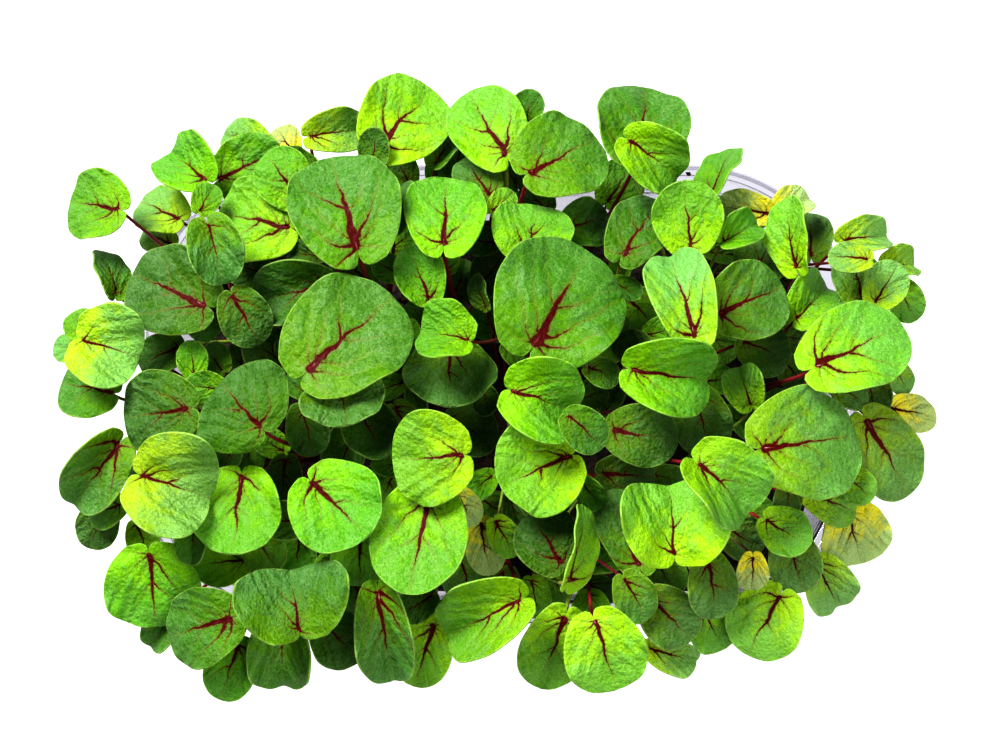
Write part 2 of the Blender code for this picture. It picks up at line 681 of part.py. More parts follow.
def make_medium(crowns, collection, cutters, material):
    """The block of growing medium, clear of the wall, with a plain hole for each crown."""
    rings = []
    for z in (PUNNET_WALL + MEDIUM_GAP, PUNNET_WALL + 3.4, MEDIUM_TOP - 1.5, MEDIUM_TOP):
        half_x, half_y, radius = wall_half_sizes(z)
        inset = MEDIUM_GAP
        inset += 3.0 if z < PUNNET_WALL + 1 else 0.0
        inset += 1.2 if z == MEDIUM_TOP else 0.0
        outline, _ = rounded_outline(half_x - inset, half_y - inset, radius - inset, 32)
        rings.append([Vector((*point, z)) * MM for point in outline])
    medium = add_object("growing_medium", lofted("medium", rings, (True, True)), collection, material)
    for number, crown in enumerate(crowns, 1):
        shape = bmesh.new()
        bmesh.ops.create_cone(
            shape,
            cap_ends=True,
            segments=6,
            radius1=(CROWN_RADIUS + HOLE_CLEARANCE) * MM,
            radius2=(CROWN_RADIUS + HOLE_CLEARANCE) * MM,
            depth=2 * HOLE_DEPTH * MM,
        )
        mesh = bpy.data.meshes.new(f"hole_{number:02d}")
        shape.to_mesh(mesh)
        shape.free()
        cutter = add_object(f"hole_{number:02d}", mesh, cutters)
        cutter.location = Vector((crown.x, crown.y, MEDIUM_TOP)) * MM
        cutter.hide_render = True
        cutter.display_type = "WIRE"
    holes = medium.modifiers.new("holes", "BOOLEAN")
    holes.operation = "DIFFERENCE"
    holes.operand_type = "COLLECTION"
    holes.collection = cutters
    return medium


def make_blade(name, leaf, collection):
    """A blade: a grid moved to its surface, with the tip's row merged, thickened by Solidify."""
    grid = blade_grid(leaf, BLADE_ROWS, BLADE_COLUMNS)
    shape = bmesh.new()
    bmesh.ops.create_grid(shape, x_segments=BLADE_COLUMNS - 1, y_segments=BLADE_ROWS - 1, size=1)
    shape.verts.ensure_lookup_table()
    for vertex, point in zip(shape.verts, grid.reshape(-1, 3)):
        vertex.co = Vector(point) * MM
    bmesh.ops.remove_doubles(shape, verts=shape.verts, dist=1e-6)
    bmesh.ops.triangulate(shape, faces=shape.faces)
    mesh = bpy.data.meshes.new(name)
    shape.to_mesh(mesh)
    shape.free()
    blade = add_object(name, mesh, collection)
    thick = blade.modifiers.new("thickness", "SOLIDIFY")
    thick.thickness = BLADE_THICKNESS * MM
    thick.offset = 0.0
    return blade


def make_petiole(name, leaf, collection, profile):
    """A petiole: a bevelled curve from inside the crown to just inside its blade, as a mesh."""
    midrib = blade_grid(leaf, BLADE_ROWS, BLADE_COLUMNS)[:, BLADE_COLUMNS // 2]
    joint = leaf.petiole[-1]
    line = [*leaf.petiole, joint + (midrib[1] - joint) * 0.45]
    curve = bpy.data.curves.new(name, "CURVE")
    curve.dimensions = "3D"
    curve.bevel_mode = "OBJECT"
    curve.bevel_object = profile
    curve.use_fill_caps = True
    spline = curve.splines.new("POLY")
    spline.points.add(len(line) - 1)
    for point, place in zip(spline.points, line):
        point.co = (*(Vector(place) * MM), 1.0)
    for point in spline.points[-2:]:
        point.radius = PETIOLE_END_RADIUS / PETIOLE_RADIUS
    drawn = bpy.data.objects.new(name, curve)
    collection.objects.link(drawn)
    bpy.context.view_layer.update()
    graph = bpy.context.evaluated_depsgraph_get()
    mesh = bpy.data.meshes.new_from_object(drawn.evaluated_get(graph))
    bpy.data.objects.remove(drawn)
    shape = bmesh.new()
    shape.from_mesh(mesh)
    bmesh.ops.remove_doubles(shape, verts=shape.verts, dist=1e-6)
    bmesh.ops.recalc_face_normals(shape, faces=shape.faces)
    shape.to_mesh(mesh)
    shape.free()
    return add_object(name, mesh, collection)


def petiole_profile(collection):
    """The petioles' three-sided section, a closed curve that is only drawn along others."""
    curve = bpy.data.curves.new("petiole_profile", "CURVE")
    spline = curve.splines.new("POLY")
    spline.points.add(2)
    spline.use_cyclic_u = True
    for place, point in enumerate(spline.points):
        turn = 2 * math.pi * place / 3
        point.co = (
            PETIOLE_RADIUS * MM * math.cos(turn),
            PETIOLE_RADIUS * MM * math.sin(turn),
            0.0,
            1.0,
        )
    profile = bpy.data.objects.new("petiole_profile", curve)
    profile.hide_render = True
    collection.objects.link(profile)
    return profile


def make_seedling(number, crown, collection, material, profile):
    """One seedling: its crown, with the petioles and blades joined to it in one Boolean union."""
    name = f"seedling_{number:02d}"
    parts = bpy.data.collections.new(f"{name}_parts")
    bpy.context.scene.collection.children.link(parts)
    for place, leaf in enumerate(crown.leaves):
        make_petiole(f"{name}_petiole_{place}", leaf, parts, profile)
        make_blade(f"{name}_blade_{place}", leaf, parts)
    shape = bmesh.new()
    height = HOLE_DEPTH - HOLE_CLEARANCE + CROWN_RISE
    bmesh.ops.create_cone(
        shape,
        cap_ends=True,
        segments=6,
        radius1=CROWN_RADIUS * 0.8 * MM,
        radius2=CROWN_RADIUS * MM,
        depth=height * MM,
    )
    bmesh.ops.translate(
        shape,
        verts=shape.verts,
        vec=Vector((crown.x, crown.y, MEDIUM_TOP + CROWN_RISE - height / 2)) * MM,
    )
    mesh = bpy.data.meshes.new(name)
    shape.to_mesh(mesh)
    shape.free()
    stem = add_object(name, mesh, collection, material)
    join = stem.modifiers.new("join", "BOOLEAN")
    join.operation = "UNION"
    join.operand_type = "COLLECTION"
    join.collection = parts
    bpy.context.view_layer.update()
    graph = bpy.context.evaluated_depsgraph_get()
    fused = bpy.data.meshes.new_from_object(stem.evaluated_get(graph))
    stem.modifiers.clear()
    stem.data = fused
    for extra in list(parts.objects):
        bpy.data.objects.remove(extra)
    bpy.data.collections.remove(parts)
    return stem


def main():
    for startup in list(bpy.data.objects):
        bpy.data.objects.remove(startup)
    collection = bpy.data.collections.new("sorrel_microgreens")
    cutters = bpy.data.collections.new("holes")
    bpy.context.scene.collection.children.link(collection)
    bpy.context.scene.collection.children.link(cutters)
    crowns, left_out = grow(random.Random(SEED))
    print(len(crowns), "seedlings,", len(left_out), "leaves left out")
    make_punnet(collection, plain_material("clear_plastic", (0.93, 0.94, 0.95), 0.08, 0.25))
    soil = plain_material("dark_medium", (0.035, 0.022, 0.014), 0.95)
    make_medium(crowns, collection, cutters, soil)
    greens = {
        name: plain_material(f"leaf_{name}", colour, 0.45) for name, colour in LEAF_COLOURS.items()
    }
    profile = petiole_profile(collection)
    for number, crown in enumerate(crowns, 1):
        topmost = max(crown.leaves, key=lambda leaf: leaf.level)
        make_seedling(number, crown, collection, greens[topmost.colour], profile)
    bpy.data.objects.remove(profile)


main()
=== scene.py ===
"""Red-veined sorrel microgreens in a clear punnet: fine surfaces, materials, floor and light.

The seedlings grow by the same rule and from the same values as the solids, so each fine seedling
stands where its solid does. Lengths are in millimetres up to the meshes, which are in metres.
"""

import math
import random
from dataclasses import dataclass, field, replace

import bpy
import numpy as np
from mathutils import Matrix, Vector
from mathutils.bvhtree import BVHTree

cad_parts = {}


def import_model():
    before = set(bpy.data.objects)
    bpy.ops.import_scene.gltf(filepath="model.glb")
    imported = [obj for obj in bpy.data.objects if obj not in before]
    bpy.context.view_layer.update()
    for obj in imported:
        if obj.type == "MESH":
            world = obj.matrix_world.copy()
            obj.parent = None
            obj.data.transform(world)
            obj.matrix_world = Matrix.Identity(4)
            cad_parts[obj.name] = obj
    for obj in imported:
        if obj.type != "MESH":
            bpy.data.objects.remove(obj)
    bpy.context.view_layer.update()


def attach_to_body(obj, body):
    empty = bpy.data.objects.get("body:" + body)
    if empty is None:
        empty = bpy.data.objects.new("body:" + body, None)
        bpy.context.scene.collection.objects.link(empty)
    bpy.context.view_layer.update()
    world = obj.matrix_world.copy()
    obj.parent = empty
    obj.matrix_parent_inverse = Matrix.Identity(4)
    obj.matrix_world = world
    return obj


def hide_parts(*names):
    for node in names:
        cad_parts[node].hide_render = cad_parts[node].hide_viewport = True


MM = 0.001
SEED = 21

# Punnet
RIM_HALF_X = 75.0
RIM_HALF_Y = 49.0
RIM_CORNER = 34.0
PUNNET_HEIGHT = 45.0
FLANGE_WIDTH = 2.6
LIP_DROP = 3.0
LEDGE_DEPTH = 2.4
LEDGE_WIDTH = 2.2
WALL_LEAN = 6.5
FLUTE_DEPTH = 0.8
FLUTE_START = 8.0
FLUTES = 26
FOOT_RADIUS = 3.0

# The punnet as the search for a clear place sees it: insets from the rim, and heights
RIM_STEPS = 48
RIM_SECTIONS = ((8.2, 30.0), (5.6, 43.3), (3.3, 43.5), (3.0, 46.0), (-1.0, 46.0), (-1.0, 41.0))

# Growing medium
MEDIUM_TOP = 30.0
MEDIUM_BOTTOM = 1.0
MEDIUM_SET_IN = 0.9
MEDIUM_TINT = (0.022, 0.014, 0.009)
CRUMB_TINT = (0.035, 0.022, 0.014)
PALE_CRUMB_TINT = (0.34, 0.29, 0.19)
PALE_CRUMBS = 0.12

# Seedlings
CROWN_RADIUS = 1.0
CROWN_RISE = 1.6
CROWN_PITCH = 15.5
CROWN_JITTER = 2.0
MOST_LEAVES = 5
PETIOLE_RADIUS = 0.6
PETIOLE_STEPS = 3
BLADE_THICKNESS = 0.7
BLADE_ROWS = 5
BLADE_COLUMNS = 3
BASE_ANGLE = math.radians(28)
LOBE_DEPTH = 0.13
LOBE_TURN = 2.26
CLEARANCE = 0.22
CORNERS = ((1, 1), (-1, 1), (-1, -1), (1, -1))

# Canopy: EYE is the point that the blades' places are read from, and the rise is a low dome
EYE = np.array([0.0, -81.0, 484.0])
CANOPY_MIDDLE = np.array([0.0, 0.0, 66.0])
EYE_DISTANCE = np.linalg.norm(CANOPY_MIDDLE - EYE)
AHEAD = (CANOPY_MIDDLE - EYE) / EYE_DISTANCE
RIGHT = np.array([1.0, 0.0, 0.0])
UPWARD = np.cross(RIGHT, AHEAD)
LOWEST_BLADE = 51.0
LEVEL_RISE = 4.6
DOME_RISE = 7.0
DOME_HALF_X = 90.0
DOME_HALF_Y = 64.0

# Search for a clear place: each try moves a blade off its level and makes it a little smaller.
# Room is what a leaf needs: its blade's thickness, the most leaves on a crown, petiole's radius.
LIFT_STEP = 0.8
LIFT_TRIES = 44
SHRINK = 0.005
PETIOLE_CHOICES = 10
NEAR_CROWNS = 9
ROOM = (BLADE_THICKNESS + 2 * CLEARANCE, MOST_LEAVES, PETIOLE_RADIUS + CLEARANCE)

# Low blades that fill the shade under the canopy, where the picture plane shows no other blade
LOW_TRIES = 2600
LOW_ROOM = (0.56, 10, 0.42)
LOW_LENGTHS = (7, 14)
LOW_HOLDS = ("flat", "cup", "fold", "flat")
LOW_COLOURS = ("mid", "deep", "bright", "mid", "lime", "cool", "bright")
LOWEST_LOW = 46.0
LOW_SPREAD = 15.0
LOW_OUTER_RISE = 9.0
COVER_CELL = 1.4
COVER_HALF_X = 100.0
COVER_HALF_Y = 70.0
COVER_GRID = (24, 20)
LOW_COVER_GRID = (16, 14)
SHADE_HALF_X = 77.0
SHADE_HALF_Y = 53.0
SHADE_POWER = 2.4
BARE_RIM_TURN = math.radians(57)
BARE_RIM_FROM = 50.0

# Fine surfaces
FINE_THICKNESS = 0.34
FINE_ROWS = 24
FINE_COLUMNS = 15
CLOSING = 1.6
RIPPLE = 0.03
STALK_RADIUS = 0.52
STALK_SIDES = 8
STALK_POINTS = 16
RIB_POINTS = 8
RIB_END = 2.2
STALK_RED = (0.17, 0.012, 0.022)
STALK_GREEN = (0.20, 0.26, 0.04)
GREEN_STALKS = 0.18
CROWN_TINT = (0.16, 0.02, 0.02)
CROWN_SIDES = 12
CROWN_PROFILE = ((0.62, -2.0), (0.8, -0.2), (1.12, 0.35), (1.05, 0.9), (0.78, 1.35), (0.4, 1.6))
SHELL_WALL = 0.5
SHELL_AROUND = 312
MEDIUM_AROUND = 150
CRUMBS = 420
CRUMB_LIFT = 0.2
HUSK_PLACE = (40.3, 46.6, 45.6)
HUSK_SIZE = 0.75

# Floor, in metres; then the camera's sensor and the picture's width at the canopy's middle
FLOOR_HALF = 20.0
FLOOR_DROP = 0.0004
SENSOR_WIDTH = 36.0
VIEW_WIDTH = 200.0

# How a blade is held: pitch lifts its tip, roll lowers its right edge, fold raises both halves
# about the midrib, bend carries the tip down, all in degrees. Hollow is the share of the width
# over which the fold is rounded, and wave the share of the width that the margin rises and falls.
HOLDS = {
    "flat": {"pitch": 2, "roll": 0, "fold": 6, "bend": 24, "hollow": 0.3, "wave": 0.025},
    "dome": {"pitch": 8, "roll": 0, "fold": -14, "bend": 50, "hollow": 0.8, "wave": 0.02},
    "cup": {"pitch": 4, "roll": 0, "fold": 26, "bend": -26, "hollow": 0.8, "wave": 0.035},
    "fold": {"pitch": 4, "roll": 6, "fold": 36, "bend": 34, "hollow": 0.1, "wave": 0.04},
    "side": {"pitch": 10, "roll": 58, "fold": 20, "bend": 26, "hollow": 0.3, "wave": 0.03},
}

# The blades that show from EYE: where the middle is seen, across and up in the picture plane,
# which squarely faces EYE at CANOPY_MIDDLE; then length, width, heading from the petiole to the
# tip in degrees from +X, hold, level in the canopy, and leaf colour.
SHOWN_LEAVES = (
    # Left end
    (-81, 33, 15, 15.5, 165, "flat", 2, "bright"),
    (-68, 32, 14, 12.5, 150, "flat", 1, "pale"),
    (-62.5, 41, 14, 13, 140, "fold", 2, "bright"),
    (-50.5, 41, 16.5, 13, 25, "cup", 1, "bright"),
    (-49, 30, 18.5, 18.5, 165, "flat", 2, "lime"),
    (-51.5, 46.5, 12, 9, 160, "flat", 0, "pale"),
    (-43, 46, 8, 7, 120, "flat", 0, "yellow"),
    (-78, 19.5, 12, 9, 100, "side", 1, "cool"),
    (-68.5, 26.5, 10, 8, 150, "flat", 0, "pale"),
    (-57, 24, 14, 12, 288, "fold", 4, "cool"),
    (-66, 16, 20.5, 19, 155, "flat", 3, "deep"),
    (-59.5, 10, 9.5, 8, 290, "flat", 2, "mid"),
    (-51, 10.5, 14, 12, 300, "flat", 1, "deep"),
    (-78.5, 4.5, 13.5, 18, 342, "fold", 3, "pale"),
    (-84, 9, 8, 7, 120, "flat", 1, "lime"),
    (-86, 4.5, 8.5, 7, 170, "flat", 0, "pale"),
    (-82.5, -3.5, 13.5, 13.5, 165, "flat", 2, "mid"),
    (-68, 3, 11, 9, 200, "flat", 1, "deep"),
    (-61.5, 2, 8, 7, 100, "cup", 2, "bright"),
    (-68.5, -8.5, 16.5, 17.5, 185, "flat", 3, "deep"),
    (-52, -7, 16, 22, 135, "dome", 4, "deep"),
    (-61, -12, 10, 7, 340, "fold", 1, "pale"),
    (-65.5, -23, 16, 22.5, 342, "fold", 4, "pale"),
    (-52.5, -28.5, 18, 18.5, 267, "cup", 3, "bright"),
    (-80.5, -20.5, 18, 13, 235, "fold", 2, "cool"),
    (-80.5, -31, 11, 9, 250, "flat", 0, "cool"),
    (-79, -28, 9.5, 8, 195, "flat", 1, "bright"),
    (-71, -20.5, 10, 8, 190, "flat", 1, "deep"),
    (-71.5, -34, 9, 7, 290, "flat", 0, "lime"),
    (-69.5, -43.5, 17, 20, 275, "flat", 2, "bright"),
    (-67, -51, 14, 9, 230, "fold", 2, "mid"),
    (-60, -51.5, 18, 16, 195, "flat", 3, "mid"),
    (-54, -60, 14, 10.5, 252, "flat", 2, "bright"),
    (-43.5, -56.5, 15, 15, 268, "fold", 2, "mid"),
    (-41, -46.5, 14, 24, 100, "fold", 4, "cool"),
    (-47.5, -35.5, 11, 9, 300, "flat", 2, "lime"),
    # Middle, back to front
    (-31, 33, 25, 23, 105, "flat", 4, "mid"),
    (-32.5, 47.5, 14, 10, 10, "fold", 1, "pale"),
    (-19, 50.5, 20.5, 19, 50, "flat", 2, "lime"),
    (-2.5, 49, 20.5, 16.5, 118, "flat", 2, "lime"),
    (12.5, 43, 20, 19.5, 33, "flat", 3, "mid"),
    (-41.5, 15.5, 17, 14, 190, "fold", 2, "deep"),
    (-30.5, 7, 26, 25, 45, "flat", 4, "mid"),
    (-11, 31.5, 19, 17, 88, "flat", 3, "bright"),
    (-16, 19, 13, 11.5, 110, "cup", 2, "bright"),
    (-11, 7, 11, 13, 165, "fold", 4, "bright"),
    (-10, -1, 14, 20, 270, "cup", 2, "cool"),
    (-8, 18, 12, 10, 70, "flat", 0, "deep"),
    (-4, 15.5, 8, 6, 120, "side", 1, "cool"),
    (6.5, 28, 14, 17.5, 75, "flat", 3, "bright"),
    (17.5, 29.5, 11, 11, 20, "flat", 1, "deep"),
    (-4.5, 38.5, 13, 10, 120, "flat", 1, "cool"),
    (0.5, 33.5, 8, 6, 45, "flat", 1, "lime"),
    (12, 14, 27, 27, 60, "flat", 4, "mid"),
    (8.5, -6, 15.5, 17, 342, "fold", 4, "bright"),
    (7.5, -20, 17, 20.5, 205, "cup", 3, "lime"),
    (4, 3.5, 9, 8, 330, "flat", 1, "mid"),
    (20.5, -0.5, 9, 7, 340, "flat", 1, "mid"),
    (17, -12, 13, 11, 320, "flat", 2, "mid"),
    (-31.5, -6, 13, 18, 285, "cup", 3, "cool"),
    (-26, -12, 14, 12, 300, "cup", 2, "deep"),
    (-19, -11, 10, 8, 300, "flat", 1, "cool"),
    (-38.5, -12, 11, 9, 285, "flat", 1, "deep"),
    (-6, -12, 14, 13, 330, "flat", 1, "deep"),
    (-14, -17.5, 16, 19.5, 185, "flat", 4, "lime"),
    (-32.5, -27.5, 18, 19.5, 315, "cup", 4, "bright"),
    (-16, -34, 23, 19.5, 260, "cup", 4, "bright"),
    (-19, -44, 16, 14.5, 275, "cup", 2, "lime"),
    (-7, -27.5, 9, 7, 300, "flat", 1, "yellow"),
    (-3, -35.5, 12, 8, 280, "flat", 1, "yellow"),
    (1, -33.5, 9.5, 7, 300, "flat", 2, "lime"),
    (9.5, -34, 14, 13.5, 120, "flat", 2, "deep"),
    (-3, -49.5, 19, 16.5, 205, "fold", 4, "lime"),
    (-15, -56.5, 15.5, 11, 252, "flat", 2, "lime"),
    (-23, -53, 21, 13, 278, "fold", 3, "cool"),
    (-32, -54, 12, 12, 310, "flat", 2, "deep"),
    (-28, -45, 12, 10, 300, "flat", 1, "deep"),
    (-34, -41, 10, 8, 260, "flat", 1, "mid"),
    (0, -44, 11, 10, 260, "flat", 0, "deep"),
    (7, -45.5, 9, 7, 280, "flat", 0, "lime"),
    (11.5, -43, 9, 8, 290, "flat", 1, "lime"),
    (10.5, -56, 18, 13, 250, "flat", 3, "lime"),
    (21, -56.5, 16.5, 16.5, 288, "flat", 4, "lime"),
    (15.5, -35.5, 17, 12, 68, "side", 4, "lime"),
    (18, -24.5, 8, 6, 310, "fold", 2, "bright"),
    (20, -44, 9, 8, 330, "flat", 3, "deep"),
    # Right end
    (28.5, 49.5, 22, 20, 80, "flat", 2, "mid"),
    (30.5, 42.5, 15, 14, 325, "fold", 3, "lime"),
    (44, 39.5, 13.5, 12, 72, "side", 2, "bright"),
    (28, 28.5, 18.5, 13, 60, "flat", 2, "deep"),
    (37.5, 30.5, 15, 15, 95, "cup", 3, "lime"),
    (48, 27.5, 10, 9, 30, "fold", 3, "bright"),
    (52.5, 22.5, 14, 12, 60, "flat", 1, "deep"),
    (58, 27, 16.5, 11, 107, "side", 3, "lime"),
    (58.5, 33, 10, 8, 30, "fold", 2, "yellow"),
    (49, 32, 12, 8, 170, "fold", 1, "yellow"),
    (62, 27, 12, 10, 90, "flat", 0, "cool"),
    (73, 26.5, 12.5, 9, 15, "fold", 2, "pale"),
    (70, 22.5, 11, 8, 170, "flat", 1, "pale"),
    (80, 21, 9.5, 8.5, 15, "fold", 2, "lime"),
    (71.5, 18.5, 13, 10.5, 100, "flat", 2, "mid"),
    (77, 17, 10.5, 9.5, 60, "cup", 3, "pale"),
    (81, 14, 10, 8, 300, "flat", 1, "bright"),
    (71.5, 4.5, 24, 18.5, 27, "flat", 4, "bright"),
    (62.5, 13.5, 13.5, 12, 45, "fold", 2, "bright"),
    (50, 14, 17, 16.5, 25, "flat", 3, "mid"),
    (36.5, 15, 23, 14.5, 105, "fold", 4, "pale"),
    (43.5, 5.5, 12.5, 10, 300, "flat", 2, "lime"),
    (53, 4, 12, 11, 340, "flat", 1, "deep"),
    (34, -1, 19, 17, 352, "fold", 4, "bright"),
    (49, -3.5, 9.5, 9, 110, "fold", 2, "bright"),
    (62, -14.5, 24.5, 23, 10, "flat", 4, "mid"),
    (77.5, -17, 21, 15, 305, "flat", 2, "mid"),
    (82.5, -8.5, 12, 8, 352, "flat", 1, "yellow"),
    (80, -1.5, 8, 6, 300, "flat", 1, "pale"),
    (66.5, -26.5, 13, 10, 345, "flat", 2, "lime"),
    (71, -33, 13, 15, 285, "flat", 1, "yellow"),
    (65.5, -43, 13, 11, 300, "fold", 1, "pale"),
    (59, -38.5, 13.5, 11, 285, "flat", 2, "mid"),
    (57, -32.5, 11, 10.5, 325, "cup", 3, "bright"),
    (53, -50.5, 15.5, 15.5, 240, "flat", 2, "lime"),
    (50.5, -40.5, 10, 8, 270, "flat", 0, "yellow"),
    (44.5, -23, 18, 19, 320, "fold", 4, "bright"),
    (34.5, -30.5, 16, 23.5, 92, "fold", 4, "lime"),
    (25, -32, 19, 11, 110, "flat", 2, "mid"),
    (33, -41, 12, 11, 300, "flat", 2, "lime"),
    (34, -49.5, 13.5, 12, 315, "flat", 2, "deep"),
    (42.5, -43.5, 13.5, 10.5, 280, "flat", 3, "deep"),
    (42.5, -51.5, 11.5, 10.5, 300, "flat", 1, "bright"),
    (34.5, -57, 12, 8, 340, "fold", 1, "pale"),
    (28.5, -13, 16, 14, 350, "flat", 1, "deep"),
    (40.5, -10.5, 14, 12, 285, "flat", 2, "deep"),
    (26.5, 4.5, 9, 8, 140, "flat", 1, "deep"),
    (25.5, -21, 13, 10, 0, "flat", 1, "deep"),
    (27, -45.5, 12, 10, 300, "flat", 1, "mid"),
    (41, -36.5, 10, 7, 50, "side", 2, "cool"),
    (48.5, -33.5, 11, 10, 330, "flat", 2, "deep"),
)

LEAF_COLOURS = {
    "bright": (0.13, 0.37, 0.005),
    "mid": (0.074, 0.22, 0.005),
    "deep": (0.045, 0.15, 0.003),
    "lime": (0.19, 0.43, 0.006),
    "yellow": (0.60, 0.66, 0.14),
    "pale": (0.22, 0.44, 0.050),
    "cool": (0.080, 0.21, 0.016),
}

# Painted light: the blades get a lighter tint towards the front right, as if lit more from that
# side: the direction, per millimetre, and what they gain
PAINTED_LIGHT_TOWARDS = np.array([0.0107, -0.0067])
PAINTED_LIGHT_GAIN = (0.13, 0.14, 0.045)

# Red veins to each side of the midrib: where they leave it, their slope and curve towards the
# tip, how far out they reach and how wide they are, in shares of the blade's length
SIDE_VEINS = (
    (0.00, -0.45, 0.9, 0.20, 0.017),
    (0.01, 0.20, 1.6, 0.36, 0.022),
    (0.05, 0.95, 1.6, 0.30, 0.019),
    (0.36, 0.80, 1.3, 0.19, 0.014),
)


@dataclass
class Leaf:
    """A blade and the petiole that carries it, in radians and millimetres."""

    seen: tuple
    middle: np.ndarray
    length: float
    width: float
    heading: float
    pitch: float
    roll: float
    fold: float
    bend: float
    hollow: float
    wave: float
    phase: float
    level: int
    colour: str
    petiole: tuple | None = None


@dataclass
class Crown:
    """The foot of a seedling, which stands in its hole in the medium."""

    x: float
    y: float
    leaves: list
    low_leaves: list = field(default_factory=list)


# Outlines of the punnet and the medium


def wall_half_sizes(z):
    """Half sizes and corner radius of the wall's inner face at a height, from its lean."""
    inset = FLANGE_WIDTH + LEDGE_WIDTH + WALL_LEAN * (1 - z / PUNNET_HEIGHT)
    return RIM_HALF_X - inset, RIM_HALF_Y - inset, RIM_CORNER - inset


def rounded_outline(half_x, half_y, radius, count):
    """Points at even steps round a rectangle with round corners, and their outward directions.

    Each of the four sides is its straight run followed by its quarter turn about the corner's
    centre, so a point is that centre plus the radius outwards, less what is left of the straight.
    """
    inner = np.array([half_x - radius, half_y - radius])
    straights = 2 * np.array([inner[1], inner[0], inner[1], inner[0]])
    starts = np.concatenate([[0], np.cumsum(straights + math.pi * radius / 2)])
    run = starts[-1] * np.arange(count) / count
    side = np.searchsorted(starts, run, side="right") - 1
    left = straights[side] - (run - starts[side])
    turned = side * math.pi / 2 + np.clip(-left, 0, None) / radius
    outwards = np.stack([np.cos(turned), np.sin(turned)], axis=1)
    along = np.stack([-np.sin(side * math.pi / 2), np.cos(side * math.pi / 2)], axis=1)
    centres = np.array(CORNERS)[side] * inner
    return centres + outwards * radius - along * np.clip(left, 0, None)[:, None], outwards


def rim_outline(inset, count):
    """Points and outward directions of the punnet's rim, set in by a distance."""
    return rounded_outline(RIM_HALF_X - inset, RIM_HALF_Y - inset, RIM_CORNER - inset, count)


# Blades


def blade_flat(leaf, turn, across, closing=0.0):
    """Across and along positions of a blade laid flat, from the joint at 0, 0 to the tip.

    The half width follows a circle's sine as the turn goes from the base lobes to the tip. The
    along position follows the circle's cosine, less the lobes that reach back past the joint.
    The closing is a power that draws the lobes' inner edges together over the petiole.
    """
    share = (math.cos(BASE_ANGLE) - np.cos(turn)) / (1 + math.cos(BASE_ANGLE))
    fade = np.clip(1 - share / 0.35, 0, 1) ** 1.5
    lobe = fade * np.sin(LOBE_TURN * np.abs(across)) / math.sin(LOBE_TURN)
    drawn_in = np.sign(across) * np.abs(across) ** (1 + closing * fade)
    return drawn_in * leaf.width / 2 * np.sin(turn), leaf.length * (share - LOBE_DEPTH * lobe)


def blade_surface(leaf, turn, across, closing=0.0, ripple=0.0):
    """A blade's middle surface over the turns and the shares across, with the tip as last row.

    The fold turns both halves up about the midrib, rounded there by the hollow. The margin rises
    and falls as a slow sine of the turn. The ripple adds a quick sine close to the margin, and
    low hills as the product of a sine across and a sine along. The bend carries the surface
    along a circular arc.
    """
    x, y = blade_flat(leaf, turn, across, closing)
    rounded = leaf.hollow * leaf.width / 2
    rise = np.sqrt(x**2 + rounded**2) - rounded
    z = rise * math.sin(leaf.fold)
    margin = leaf.wave * leaf.width * across**2 * np.sin(turn)
    z = z + margin * np.sin(2.6 * turn + leaf.phase + 1.9 * np.sign(across))
    quick = ripple * leaf.width * across**4 * np.sin(turn)
    z = z + quick * np.sin(7.3 * turn + 3.1 * leaf.phase + 2.3 * np.sign(across))
    hills = np.sin(8.5 * x / leaf.length + leaf.phase) * np.sin(6.5 * y / leaf.length)
    z = z + ripple * leaf.width * hills
    x = x * math.cos(leaf.fold)
    curl = leaf.bend * y / leaf.length
    radius = leaf.length / leaf.bend
    sine, cosine = np.sin(curl), np.cos(curl)
    bent = np.stack([x, radius * sine + z * sine, z * cosine - radius * (1 - cosine)], axis=-1)
    return bent @ turned_by(leaf).T


def turned_by(leaf):
    """The rotation that rolls a blade about its midrib, pitches it and turns it to its heading."""
    roll_cos, roll_sin = math.cos(leaf.roll), math.sin(leaf.roll)
    pitch_cos, pitch_sin = math.cos(leaf.pitch), math.sin(leaf.pitch)
    turn = leaf.heading - math.pi / 2
    head_cos, head_sin = math.cos(turn), math.sin(turn)
    roll = np.array([[roll_cos, 0, roll_sin], [0, 1, 0], [-roll_sin, 0, roll_cos]])
    pitch = np.array([[1, 0, 0], [0, pitch_cos, -pitch_sin], [0, pitch_sin, pitch_cos]])
    head = np.array([[head_cos, -head_sin, 0], [head_sin, head_cos, 0], [0, 0, 1]])
    return head @ pitch @ roll


def attachment(leaf):
    """Where the petiole meets the blade, so that the outline's middle is at the leaf's middle."""
    share = (1 - LOBE_DEPTH) / 2
    turn = math.acos(math.cos(BASE_ANGLE) - share * (1 + math.cos(BASE_ANGLE)))
    return leaf.middle - blade_surface(leaf, np.array([[turn]]), np.array([[0.0]]))[0, 0]


def blade_grid(leaf, rows, columns):
    """The blade's middle surface in its place on an even grid, with the tip as its last row."""
    turn = np.linspace(BASE_ANGLE, math.pi, rows)[:, None]
    across = np.linspace(-1, 1, columns)[None, :]
    return blade_surface(leaf, turn, across) + attachment(leaf)


def grid_triangles(rows, columns):
    """Both triangles of each cell of a grid, split the same way all over."""
    first = np.arange(rows * columns).reshape(rows, columns)
    low, right = first[:-1, :-1].ravel(), first[:-1, 1:].ravel()
    up, far = first[1:, :-1].ravel(), first[1:, 1:].ravel()
    return np.concatenate([np.stack([low, right, far], 1), np.stack([low, far, up], 1)])


def shell_rim(rows, columns):
    """The points round a grid whose last row is one point, from the first row on and round."""
    right_side = np.arange(2, rows) * columns - 1
    left_side = np.arange(rows - 2, 0, -1) * columns
    return np.concatenate([np.arange(columns), right_side, [(rows - 1) * columns], left_side])


